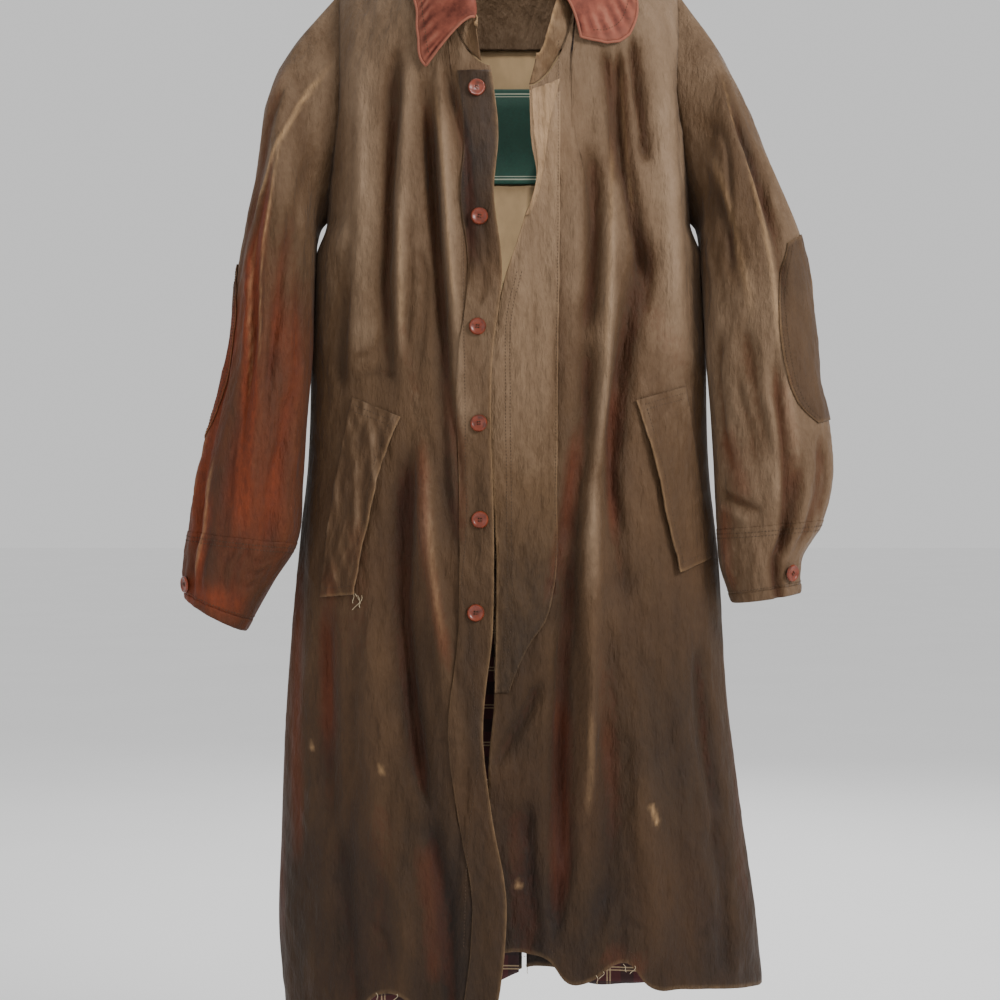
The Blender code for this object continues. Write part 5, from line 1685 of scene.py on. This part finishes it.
def joined(name, mesh, finish):
    """A piece from a bmesh in millimetres."""
    bmesh.ops.scale(mesh, vec=(MM, MM, MM), verts=mesh.verts)
    data = bpy.data.meshes.new(name)
    mesh.to_mesh(data)
    mesh.free()
    return dressed(name, data, finish)


def on_body(face, line, raised, shift=0.0):
    """Points and normals, mm, along a line of x and drop on a panel."""
    path = smooth_path(line)
    return off_body(face, path[:, 0] + shift, path[:, 1], raised)


def on_map(place, u, v, raised, step_u, step_v, turn):
    """Points and normals, mm, along a line on a mapped piece."""
    normal = unit(np.cross(place(u + step_u, v) - place(u - step_u, v),
                           place(u, v + step_v) - place(u, v - step_v))) * turn
    return place(u, v) + raised * normal, normal


def stitch_places(points, normals):
    """Where each stitch of a row goes, mm: a low bead that dips into the cloth at both ends."""
    s = sizes()
    pitch, long = s.pitch / MM, s.stitch / MM
    length = lengths_along(points)
    at = np.arange(pitch / 2, length[-1] - 0.8, pitch)
    spot = np.column_stack([np.interp(at, length, points[:, k]) for k in range(3)])
    after = np.column_stack([np.interp(at + 0.8, length, points[:, k]) for k in range(3)])
    normal = unit(np.column_stack([np.interp(at, length, normals[:, k]) for k in range(3)]))
    along = after - spot
    along = unit(along - np.sum(along * normal, axis=1)[:, None] * normal)
    across = np.cross(normal, along)
    return spot, np.stack([along * long / 2, across * 0.42, normal * 0.38], axis=1)


def beaded(rows, name, finish="sewing thread"):
    """All the stitch rows of a part of the coat as one piece of copied beads."""
    bead = bmesh.new()
    bmesh.ops.create_uvsphere(bead, u_segments=5, v_segments=4, radius=1.0)
    shape = np.array([vert.co[:] for vert in bead.verts])
    faces = [[vert.index for vert in face.verts] for face in bead.faces]
    bead.free()
    found = [stitch_places(points, normals) for points, normals in rows]
    spots = np.concatenate([spot for spot, _ in found])
    axes = np.concatenate([axis for _, axis in found])
    placed = spots[:, None, :] + np.einsum("vk,skx->svx", shape, axes)
    count = len(shape)
    data = bpy.data.meshes.new(name)
    data.from_pydata((placed.reshape(-1, 3) * MM).tolist(), [],
                     [[index + n * count for index in face] for n in range(len(spots)) for face in faces])
    return dressed(name, data, finish)


def cord_piece(name, lines, radius, finish):
    """Round cords along lines of points in millimetres, as one mesh."""
    data = bpy.data.curves.new(name + "_line", "CURVE")
    data.dimensions = "3D"
    data.bevel_depth = radius * MM
    data.bevel_resolution = 3
    data.use_fill_caps = True
    for points in lines:
        spline = data.splines.new("POLY")
        spline.points.add(len(points) - 1)
        for place, point in zip(spline.points, points):
            place.co = (*(np.asarray(point) * MM), 1.0)
    carrier = bpy.data.objects.new(name + "_line", data)
    bpy.context.scene.collection.objects.link(carrier)
    shape = bpy.data.meshes.new_from_object(carrier.evaluated_get(bpy.context.evaluated_depsgraph_get()))
    bpy.data.objects.remove(carrier)
    shape.name = name
    for key in ("crease", "rust"):
        shape.attributes.new(key, "FLOAT", "POINT")
    pale = shape.attributes.new("pale", "FLOAT", "POINT")
    pale.data.foreach_set("value", np.full(len(shape.vertices), 0.55, dtype=np.float32))
    shape.materials.clear()
    return dressed(name, shape, finish)


class COAT_OT_fronts(bpy.types.Operator):
    """Hangs both fronts with their folds, creases and worn edges"""

    bl_idname = "coat.fronts"
    bl_label = "Fronts"

    def execute(self, context):
        for face, flat, area in (("right", (0.36, 1.24), 0.350), ("left", (0.38, 1.20), 0.368)):
            place = panel(face, front_spot(face))
            piece = cloth("cloth_front_" + face, (112, 240), place, (0, 400, -650), "worn waxed cotton",
                          sizes().wall / MM, flat, "brushed check lining", body_tones(face))
            sheet(["front_" + face])
        return {"FINISHED"}


class COAT_OT_backs(bpy.types.Operator):
    """Hangs both back halves with the vent open at the hem"""

    bl_idname = "coat.backs"
    bl_label = "Back halves"

    def execute(self, context):
        for face, flat, area in (("right", (0.38, 1.28), 0.383), ("left", (0.38, 1.26), 0.362)):
            place = panel("back", back_spot(SIDES[face]))
            piece = cloth("cloth_back_" + face, (96, 220), place, (0, -400, -650), "worn waxed cotton",
                          sizes().wall / MM, flat, "dark waxed cotton", body_tones("back"))
            sheet(["back_" + face])
        return {"FINISHED"}


class COAT_OT_sleeves(bpy.types.Operator):
    """Hangs both sleeves with cuffs, bound edges and elbow patches"""

    bl_idname = "coat.sleeves"
    bl_label = "Sleeves and cuffs"

    def execute(self, context):
        for name, sleeve in SLEEVES.items():
            stations = ring_stations(sleeve["side"], sleeve["rings"])
            seam = stations[sleeve["cuff_ring"]]
            end = stations[-1]
            middle = (sleeve["side"] * 290.0, -45.0, -480.0)
            bands = (
                # piece, first and last along the sleeve, raised, grid, wall, held, nodes, rests, cut, area
                ("cloth_sleeve_", -8.0, seam - 0.5, 0.0, (130, 170), 1.3, "hung",
                 ["sleeve_" + name + "_top", "sleeve_" + name + "_under"], "front_" + name,
                 (0.42, 0.56), 0.205),
                ("cloth_cuff_", seam - 3.0, end - BINDING, 0.7, (150, 30), 1.8, "hung",
                 ["cuff_" + name], "sleeve_" + name + "_top", (0.32, 0.09), 0.0235),
                ("cloth_binding_", end - BINDING, end, 1.6, (150, 8), 1.8, "hung",
                 ["cuff_binding_" + name], "cuff_" + name, (0.29, 0.013), None),
            )
            for title, first, last, raised, grid, wall, held, nodes, rests, flat, area in bands:

                def place(u, v, first=first, last=last, raised=raised):
                    out = raised * (1.0 - 0.6 * (2.0 * v - 1.0) ** 6) if raised > 1.0 else raised
                    return sleeve_at(sleeve, 360.0 * u, first + (last - first) * v, out)

                piece = cloth(title + name, grid, place, middle, "worn waxed cotton", wall, flat,
                              "dark waxed cotton", sleeve_tones(sleeve, (0.0, 360.0), (first, last)), True)
                sheet(nodes)
            table = sleeve["patch"]

            def patch_turn(u, v):
                return curve(table, 2, v) + (curve(table, 3, v) - curve(table, 2, v)) * u

            def patch(u, v):
                return sleeve_at(sleeve, patch_turn(u, v), curve(table, 1, v), PATCH_GAP + 0.4)

            def patch_tones(u, v, points):
                spread = 4.0 * np.maximum(np.abs(u - 0.5), np.abs(v - 0.5)) - 1.0
                tones = sleeve_tones(sleeve, (0.0, 1.0), (0.0, 1.0))
                found = tones(patch_turn(u, v), curve(table, 1, v), points)
                found["pale"] = found["pale"] + 0.2 * ease((spread - 0.9) / 0.1)
                found["crease"] = found["crease"] - 0.6
                return found

            cut, area = sleeve["patch_cut"]
            piece = cloth("cloth_patch_" + name, (44, 60), patch, middle, "dark waxed cotton", 1.2, cut,
                          None, patch_tones)
            sheet(["elbow_patch_" + name])
        return {"FINISHED"}


def flap_map(face, raised, hem):
    """Map of a pocket flap: u in from its free edge, v down; hem thickens the free edge, mm."""
    table, seat, ripple, seed = FLAPS[face][:4]

    def place(u, v):
        x = curve(table, 1, v) + (curve(table, 3, v) - curve(table, 1, v)) * u
        drop = curve(table, 2, v) + (curve(table, 4, v) - curve(table, 2, v)) * u
        lift = seat + FLAP_WALL + raised + FLAP_LIFT * (1.0 - u) ** 2 * ease(v / 0.3)
        lift = lift + hem * ease((0.12 - u) / 0.03) + ripple * crumple(1.6 * x, 0.8 * drop, seed)
        return off_body(face, x, drop, lift)[0]

    return place


def flap_tones(face):
    """Tone layers of a pocket flap, calmer than the front under it."""
    ripple, seed = FLAPS[face][2:4]

    def tones(u, v, points):
        found = body_tones(face)(u, v, points)
        waves = crumple(1.6 * points[:, 0], -0.8 * points[:, 2], seed)
        # Painted shade and highlight following the flap's ripples, and the whole flap drawn lighter as
        # painted light
        found["crease"] = found["crease"] * 0.5 + 0.3 * ripple * waves + 0.25
        found["pale"] = found["pale"] + 0.3 * np.exp(-(u / 0.03) ** 2) + 0.2 * ease((v - 0.98) / 0.02)
        return found

    return tones


def trim_tones(face, extra):
    """Tone layers of a trim on a front: shaded by the collar or the lap, with pale rims."""

    def tones(u, v, points):
        found = body_tones(face)(u, v, points)
        rim = ease((np.abs(u - 0.5) - 0.46) / 0.04)
        found["pale"] = found["pale"] + extra + 0.15 * rim
        drop = -points[:, 2]
        shade = 1.8 * (1.0 - ease((drop - 300.0) / 120.0)) - 0.2
        if face == "left":
            shade = 1.0 * ease((drop - 560.0) / 200.0) - 0.4
        found["crease"] = found["crease"] - shade
        return found

    return tones


class COAT_OT_trims(bpy.types.Operator):
    """Lays the button strip, fly placket, turned-back facing and pocket flaps on the fronts"""

    bl_idname = "coat.trims"
    bl_label = "Front trims and flaps"

    def execute(self, context):
        base = TRIM_GAP + 1.1

        def strip(u, v):
            drop = STRIP_TOP + (STRIP_END - STRIP_TOP) * v
            return curve(RIGHT_EDGE, 1, drop) + 0.3 - STRIP_WIDTH * (1.0 - u), drop

        def fly(u, v):
            edge_drop = LEFT_EDGE[0][0] + 6.0
            drop = edge_drop + (FLY_SEAM[-1][0] - edge_drop) * v
            edge = curve(LEFT_EDGE, 1, drop) - 0.3
            return edge + (curve(FLY_SEAM, 1, drop) - edge) * (1.0 - u), drop

        def facing(u, v):
            first, last = FACING_EDGE[0][0], FACING_EDGE[-1][0]
            drop = first + (last - first) * v
            inner = curve(FACING_EDGE, 1, drop)
            across = inner + (curve(FACING_EDGE, 2, drop) - inner) * (1.0 - u)
            return across, drop - FACING_SLANT * (1.0 - u) * (1.0 - v)

        layers = (
            ("button_strip", "right", strip, base, 0.0, (26, 300), "waxed_cotton", (0.040, 1.04), None, 0.0),
            ("fly_placket", "left", fly, base, 0.0, (36, 180), "waxed_cotton", (0.085, 0.69), 0.0390, 0.05),
            ("front_facing_left", "left", facing, 2 * base + 0.4, 0.8, (26, 70), "waxed_cotton",
             (0.030, 0.14), 0.0024, 0.25),
        )
        for node, face, corners, raised, ripple, grid, slot, flat, area, pale in layers:

            def place(u, v, face=face, corners=corners, raised=raised, ripple=ripple):
                x, drop = corners(u, v)
                return off_body(face, x, drop, raised + ripple * crumple(4.0 * x, drop, 31))[0]

            piece = cloth("cloth_" + node, grid, place, (0, 400, -600), "worn waxed cotton", 1.1, flat,
                          None, trim_tones(face, pale))
            sheet([node])
        for face, row in FLAPS.items():
            flat, area = row[4:]
            piece = cloth("cloth_flap_" + face, (50, 110), flap_map(face, 1.2, 0.8), (0, 400, -600),
                          "worn waxed cotton", FLAP_WALL, flat, "dark waxed cotton", flap_tones(face))
            sheet(["pocket_flap_" + face])
        return {"FINISHED"}


class COAT_OT_collar(bpy.types.Operator):
    """Sews the crumpled stand and the puckered leather fall with its piped edge"""

    bl_idname = "coat.collar"
    bl_label = "Collar"

    def execute(self, context):

        def gather(u, v):
            return crumple(620.0 * u, 22.0 * v, 51)

        def stand(u, v):
            spot = stand_place(u, v)
            bow = gather(u, v) * np.sin(math.pi * np.clip(v, 0.0, 1.0)) ** 0.5
            out = unit(spot * np.array([1.0, 1.0, 0.0]) + np.array([0.0, 16.0, 0.0]))
            return spot + out * (1.3 * bow)[:, None]

        def stand_tones(u, v, points):
            # Painted shade and highlight following the stand's gathers; the top edge is rubbed pale
            return {"crease": 0.5 * gather(u, v) - 0.1, "rust": 0.15 + 0.0 * u,
                    "pale": 0.12 + 0.6 * np.exp(-((1.0 - v) / 0.12) ** 2)}

        cut = (0.58, 0.038)
        piece = cloth("cloth_collar_stand", (260, 22), stand, (0, 0, -30), "worn waxed cotton",
                      STAND_WALL, cut, "worn waxed cotton", stand_tones)
        sheet(["collar_stand"])

        def waves(u, v):
            pucker = np.sin(u * 2 * math.pi * 46 + 2.2 * np.sin(u * 31.0))
            soft = crumple(560.0 * u, 70.0 * v, 52) * np.sin(math.pi * v)
            return pucker * np.exp(-((v - 0.88) / 0.10) ** 2), soft

        def fall(u, v):
            pucker, soft = waves(u, v)
            lift = 0.35 * pucker + 0.7 * soft
            return fall_place(u, v) + np.array([0.0, -0.6, 1.0]) * lift[:, None]

        def fall_tones(u, v, points):
            pucker, soft = waves(u, v)
            # Painted shade in pucker troughs and painted highlight on crests, from the puckers' heights
            return {"crease": 0.5 * pucker + 0.5 * soft, "rust": 0.0 * u,
                    "pale": 0.35 * np.exp(-((1.0 - v) / 0.05) ** 2)}

        cut = (0.60, 0.11)
        piece = cloth("leather_collar_fall", (280, 36), fall, (0, 0, -200), "collar cowhide",
                      LEATHER_WALL, cut, None, fall_tones)
        sheet(["collar_leather"])
        along = np.linspace(0.0, 1.0, 220)
        edge = np.concatenate([fall_place(0.0 * along[::8], along[::8]), fall_place(along, 1.0 + 0.0 * along),
                               fall_place(1.0 + 0.0 * along[::8], along[::-8])])
        cord_piece("collar_piping", [edge], sizes().pipe / MM, "collar cowhide")
        inner = np.linspace(0.02, 0.98, 200)
        beaded([on_map(fall, inner, 0.915 + 0.0 * inner, 0.2, 0.004, 0.02, 1.0)], "stitches_collar",
               "sewing thread")
        return {"FINISHED"}


class COAT_OT_linings(bpy.types.Operator):
    """Lays the neck facing, tan yoke, check linings and bare label inside the back"""

    bl_idname = "coat.linings"
    bl_label = "Linings and label"

    def execute(self, context):
        depth = SHELL_WALL + SEAM_GAP
        edge_trim = 4.0

        def hang(drop):
            return -LINING_HANG * ease((drop - FACING_DROP - 8.0) / 260.0)

        def across(low, high, top, bottom):
            def corners(u, v):
                return low + (high - low) * u, top + (bottom - top) * v
            return corners

        def facing_corners(u, v):
            x = (2.0 * u - 1.0) * (NECK_HALF - 4.0)
            upper = back_neckline_drop(x) + 4.0
            return x, upper + (FACING_DROP - upper) * v

        def half_corners(side):
            def corners(u, v):
                top = YOKE_DROP - 1.0
                rough = top + (1225.0 - top) * v
                inner = vent_edge(rough, side) + side * (VENT_FACING if side > 0 else edge_trim)
                outer = side * 0.80 * half_width(np.full_like(u, side), rough)
                x = outer + (inner - outer) * u
                return x, top + (curve(BACK_HEM, 1, x) - 3.0 - top) * v
            return corners

        layers = (
            # node, finish, slot, corners, inward, ripple, seed, grid, cut, area
            ("neck_facing", "worn waxed cotton", "waxed_cotton", facing_corners, depth + 1.4, 0.3, 61,
             (60, 30), (0.17, 0.10), 0.0145),
            ("yoke_lining", "tan cotton lining", "tan_lining",
             across(-150.0, 150.0, FACING_DROP - 1.0, YOKE_DROP), depth + 0.6, 0.7, 62,
             (60, 64), (0.31, 0.37), None),
            ("lining_right", "brushed check lining", "check_lining", half_corners(-1.0),
             depth + 0.6, 1.0, 63, (50, 100), (0.20, 0.80), None),
            ("lining_left", "brushed check lining", "check_lining", half_corners(1.0),
             depth + 0.6, 1.0, 64, (50, 100), (0.16, 0.79), None),
            ("label", "woven label", "green_weave",
             across(LABEL_BOX[0], LABEL_BOX[2], LABEL_BOX[1], LABEL_BOX[3]), depth + 4.6, 0.3, 65,
             (30, 40), (0.090, 0.118), None),
        )
        for node, finish, slot, corners, inward, ripple, seed, grid, flat, area in layers:

            def place(u, v, corners=corners, inward=inward, ripple=ripple, seed=seed):
                x, drop = corners(u, v)
                lift = hang(drop) - FACING_HANG * ease(v / 0.2) - inward
                lift = lift - ripple * (1.0 + crumple(x, drop, seed))
                return off_body("inside", x, drop, lift)[0]

            piece = cloth("cloth_" + node, grid, place, (0, 600, -500), finish, 0.8, flat)
            sheet([node])
        return {"FINISHED"}


def drilled_button(name, centre, normal):
    """A turned button with a raised rim, four drilled holes and thread through them."""
    rim = BUTTON_RADIUS
    profile = (
        # radius, height
        (0.0, 0.0), (rim - 1.6, 0.0), (rim - 0.5, 0.5), (rim, 1.4), (rim - 0.3, 2.6),
        (rim - 1.0, BUTTON_THICK), (rim - 2.0, BUTTON_THICK), (rim - 3.0, BUTTON_THICK - 0.5),
        (rim - 3.8, BUTTON_THICK - 1.1), (0.0, BUTTON_THICK - 1.2),
    )
    mesh = bmesh.new()
    spots = [mesh.verts.new((radius, 0.0, height)) for radius, height in profile]
    edges = [mesh.edges.new(pair) for pair in zip(spots, spots[1:])]
    bmesh.ops.spin(mesh, geom=spots + edges, axis=(0, 0, 1), cent=(0, 0, 0), steps=40,
                   angle=2 * math.pi, use_merge=True)
    bmesh.ops.remove_doubles(mesh, verts=mesh.verts, dist=0.001)
    bmesh.ops.recalc_face_normals(mesh, faces=mesh.faces)
    drill = bmesh.new()
    holes = [(1.9 * math.cos(turn), 1.9 * math.sin(turn)) for turn in np.radians((40, 130, 220, 310))]
    for x, y in holes:
        bmesh.ops.create_cone(drill, cap_ends=True, segments=14, radius1=0.85, radius2=0.85, depth=8.0,
                              matrix=Matrix.Translation((x, y, 1.0)))
    turn = Vector((0, 0, 1)).rotation_difference(Vector(normal)).to_matrix().to_4x4()
    place = Matrix.Translation(Vector(centre)) @ turn
    for part in (mesh, drill):
        bmesh.ops.transform(part, matrix=place, verts=part.verts)
    piece = joined("horn_" + name, mesh, "polished horn")
    cutter = joined("drill_" + name, drill, "polished horn")
    cut = piece.modifiers.new("Holes", "BOOLEAN")
    cut.operation = "DIFFERENCE"
    cut.solver = "EXACT"
    cut.object = cutter
    done = bpy.data.meshes.new_from_object(piece.evaluated_get(bpy.context.evaluated_depsgraph_get()))
    piece.modifiers.clear()
    piece.data = done
    done.set_sharp_from_angle(angle=math.radians(40))
    bpy.data.objects.remove(cutter)
    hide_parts(name)
    lines = []
    for first, second in ((0, 1), (3, 2)):
        start, stop = Vector((*holes[first], 1.2)), Vector((*holes[second], 1.2))
        arch = [start, start + Vector((0, 0, 1.4)), (start + stop) / 2 + Vector((0, 0, 1.7)),
                stop + Vector((0, 0, 1.4)), stop]
        lines.append([(place @ point)[:] for point in arch])
    cord_piece("thread_" + name, lines, 0.36, "sewing thread")


class COAT_OT_buttons(bpy.types.Operator):
    """Sews on six front buttons and one on each cuff"""

    bl_idname = "coat.buttons"
    bl_label = "Buttons"

    def execute(self, context):
        for number, (x, drop) in enumerate(BUTTONS, start=1):
            seat = TRIM_GAP + SEAM_GAP + STRIP_WALL
            points, normals = off_body("right", np.array([float(x)]), np.array([float(drop)]), seat)
            drilled_button("button_%d" % number, points[0], normals[0])
        for name, sleeve in SLEEVES.items():
            along = ring_stations(sleeve["side"], sleeve["rings"])[-1] - 26.0
            points, normals = on_map(lambda u, v: sleeve_at(sleeve, u, v), np.array([sleeve["button"]]),
                                     np.array([along]), sleeve["raised"] + 1.0, 5.0, 6.0, -sleeve["side"])
            drilled_button("cuff_button_" + name, points[0], normals[0])
        return {"FINISHED"}


class COAT_OT_stitching(bpy.types.Operator):
    """Sews the seams, hems, plackets, flaps, patches and cuffs"""

    bl_idname = "coat.stitching"
    bl_label = "Stitching"

    def execute(self, context):
        strip_lift = TRIM_GAP + 1.2
        fly_line = [(x, drop) for drop, x in FLY_SEAM]
        rows = [on_body("right", STRIP_SEAM, strip_lift), on_body("left", fly_line, strip_lift, -2.0),
                on_body("left", FLY_STITCHES, strip_lift, -2.6),
                on_body("left", FLY_STITCHES, strip_lift, 2.6)]
        for face, (first, last) in HEM_STITCHES.items():
            line = [(x, curve(HEMS[face], 1, x) - HEM_TURN) for x in np.linspace(first, last, 60)]
            rows.append(on_body(face, line, 0.15))
        beaded(rows, "stitches_body")
        flap_rows = []
        for face, side in SIDES.items():
            place = flap_map(face, 1.3, 0.0)
            for first_u, first_v, last_u, last_v, count in FLAP_STITCHES:
                flap_rows.append(on_map(place, np.linspace(first_u, last_u, count),
                                        np.linspace(first_v, last_v, count), 0.1, 0.02, 0.01, side))
        beaded(flap_rows, "stitches_flaps")
        arm_rows = []
        for name, sleeve in SLEEVES.items():
            stations = ring_stations(sleeve["side"], sleeve["rings"])
            seam = stations[sleeve["cuff_ring"]]
            end = stations[-1]
            turns = np.linspace(0.0, 360.0, 90)
            for along in (seam + 3.0, seam + 8.0, end - BINDING - 2.5):
                arm_rows.append(on_map(lambda u, v: sleeve_at(sleeve, u, v, 0.9), turns, along + 0.0 * turns,
                                       0.1, 1.0, 1.0, -sleeve["side"]))
            table = sleeve["patch"]
            shares = np.linspace(0.03, 0.97, 40)
            for inset in (3.0, 8.0):
                for column, sign in ((2, 1.0), (3, -1.0)):
                    turns = curve(table, column, shares) + sign * inset
                    arm_rows.append(on_map(lambda u, v: sleeve_at(sleeve, u, v, PATCH_GAP + 0.5), turns,
                                           curve(table, 1, shares), 0.1, 1.0, 1.0, -sleeve["side"]))
        beaded(arm_rows, "stitches_sleeves")
        return {"FINISHED"}


class COAT_OT_thread_ends(bpy.types.Operator):
    """Leaves frayed thread ends at the pocket corner and the worn hem"""

    bl_idname = "coat.thread_ends"
    bl_label = "Thread ends"

    def execute(self, context):
        lines = []
        for face, x, drop, long, lean in THREAD_ENDS:
            spot = off_body(face, np.array([float(x)]), np.array([float(drop)]), 2.5)[0][0]
            shares = np.linspace(0.0, 1.0, 8)
            lines.append([spot + np.array([lean * s ** 1.5 + 1.5 * math.sin(5 * s), 0.0, -long * s])
                          for s in shares])
        cord_piece("thread_ends", lines, 0.35, "frayed thread")
        return {"FINISHED"}


class COAT_OT_stage(bpy.types.Operator):
    """Sets the pale floor, the soft lights and the camera"""

    bl_idname = "coat.stage"
    bl_label = "Stage"

    def execute(self, context):
        mesh = bmesh.new()
        bmesh.ops.create_grid(mesh, x_segments=8, y_segments=8, size=30.0)
        bmesh.ops.translate(mesh, vec=(0.0, 0.0, -FLOOR_DROP), verts=mesh.verts)
        data = bpy.data.meshes.new("floor")
        mesh.to_mesh(data)
        mesh.free()
        data.materials.append(finish_named("pale floor paint"))
        floor = bpy.data.objects.new("floor", data)
        context.scene.collection.objects.link(floor)
        world = bpy.data.worlds.new("studio")
        world.use_nodes = True
        world.node_tree.nodes["Background"].inputs["Color"].default_value = (1.0, 1.0, 1.0, 1.0)
        world.node_tree.nodes["Background"].inputs["Strength"].default_value = 0.8
        context.scene.world = world
        lamps = (
            # name, place, aim, size, power, cone in degrees
            ("key", (2.3, -2.0, 1.0), (0.0, 0.0, -0.5), 1.0, 92.0, 0.0),
            ("fill", (-2.4, -2.2, 0.2), (0.0, 0.0, -0.6), 2.2, 10.0, 0.0),
            ("back", (0.6, 2.6, 1.0), (0.0, 0.0, -0.5), 2.0, 45.0, 0.0),
            ("neck", (0.0, -0.06, 0.12), (0.0, 0.11, -0.27), 0.08, 0.5, 0.0),
            ("opening", (0.01, -1.2, 0.35), (0.01, 0.10, -0.33), 0.06, 60.0, 8.0),
        )
        for name, place, aim, size, power, cone in lamps:
            light = bpy.data.lights.new(name, "SPOT" if cone else "AREA")
            if cone:
                light.spot_size = math.radians(cone)
                light.spot_blend = 1.0
                light.shadow_soft_size = size / 2
            else:
                light.shape = "DISK"
                light.size = size
            light.energy = power
            lamp = bpy.data.objects.new(name, light)
            lamp.location = place
            lamp.rotation_euler = (Vector(aim) - Vector(place)).to_track_quat("-Z", "Y").to_euler()
            context.scene.collection.objects.link(lamp)
        view = bpy.data.cameras.new("view")
        view.lens = CAMERA_LENS
        view.sensor_width = 36.0
        camera = bpy.data.objects.new("view", view)
        camera.location = CAMERA_PLACE
        camera.rotation_euler = (math.pi / 2, 0.0, 0.0)
        context.scene.collection.objects.link(camera)
        context.scene.camera = camera
        return {"FINISHED"}


OPERATORS = (
    COAT_OT_stage, COAT_OT_fronts, COAT_OT_backs, COAT_OT_sleeves, COAT_OT_trims, COAT_OT_collar,
    COAT_OT_linings, COAT_OT_buttons, COAT_OT_stitching, COAT_OT_thread_ends,
)


class COAT_PT_panel(bpy.types.Panel):
    """Colours, sizes and pieces of the coat"""

    bl_idname = "COAT_PT_panel"
    bl_label = "Duster coat"
    bl_space_type = "VIEW_3D"
    bl_region_type = "UI"
    bl_category = "Coat"

    def draw(self, context):
        column = self.layout.column()
        for group in (context.scene.coat_colours, context.scene.coat_sizes):
            for field in group.bl_rna.properties.keys():
                if field not in ("rna_type", "name"):
                    column.prop(group, field)
        for operator in OPERATORS:
            column.operator(operator.bl_idname)


CLASSES = (CoatColours, CoatSizes, *OPERATORS, COAT_PT_panel)


def register():
    for made in CLASSES:
        bpy.utils.register_class(made)
    bpy.types.Scene.coat_colours = PointerProperty(type=CoatColours)
    bpy.types.Scene.coat_sizes = PointerProperty(type=CoatSizes)


def unregister():
    del bpy.types.Scene.coat_colours
    del bpy.types.Scene.coat_sizes
    for made in reversed(CLASSES):
        bpy.utils.unregister_class(made)


def main():
    """Makes every piece in order."""
    register()
    bpy.ops.coat.stage()
    bpy.ops.coat.fronts()
    bpy.ops.coat.backs()
    bpy.ops.coat.sleeves()
    bpy.ops.coat.trims()
    bpy.ops.coat.collar()
    bpy.ops.coat.linings()
    bpy.ops.coat.buttons()
    bpy.ops.coat.stitching()
    bpy.ops.coat.thread_ends()


if __name__ == "__main__":
    main()
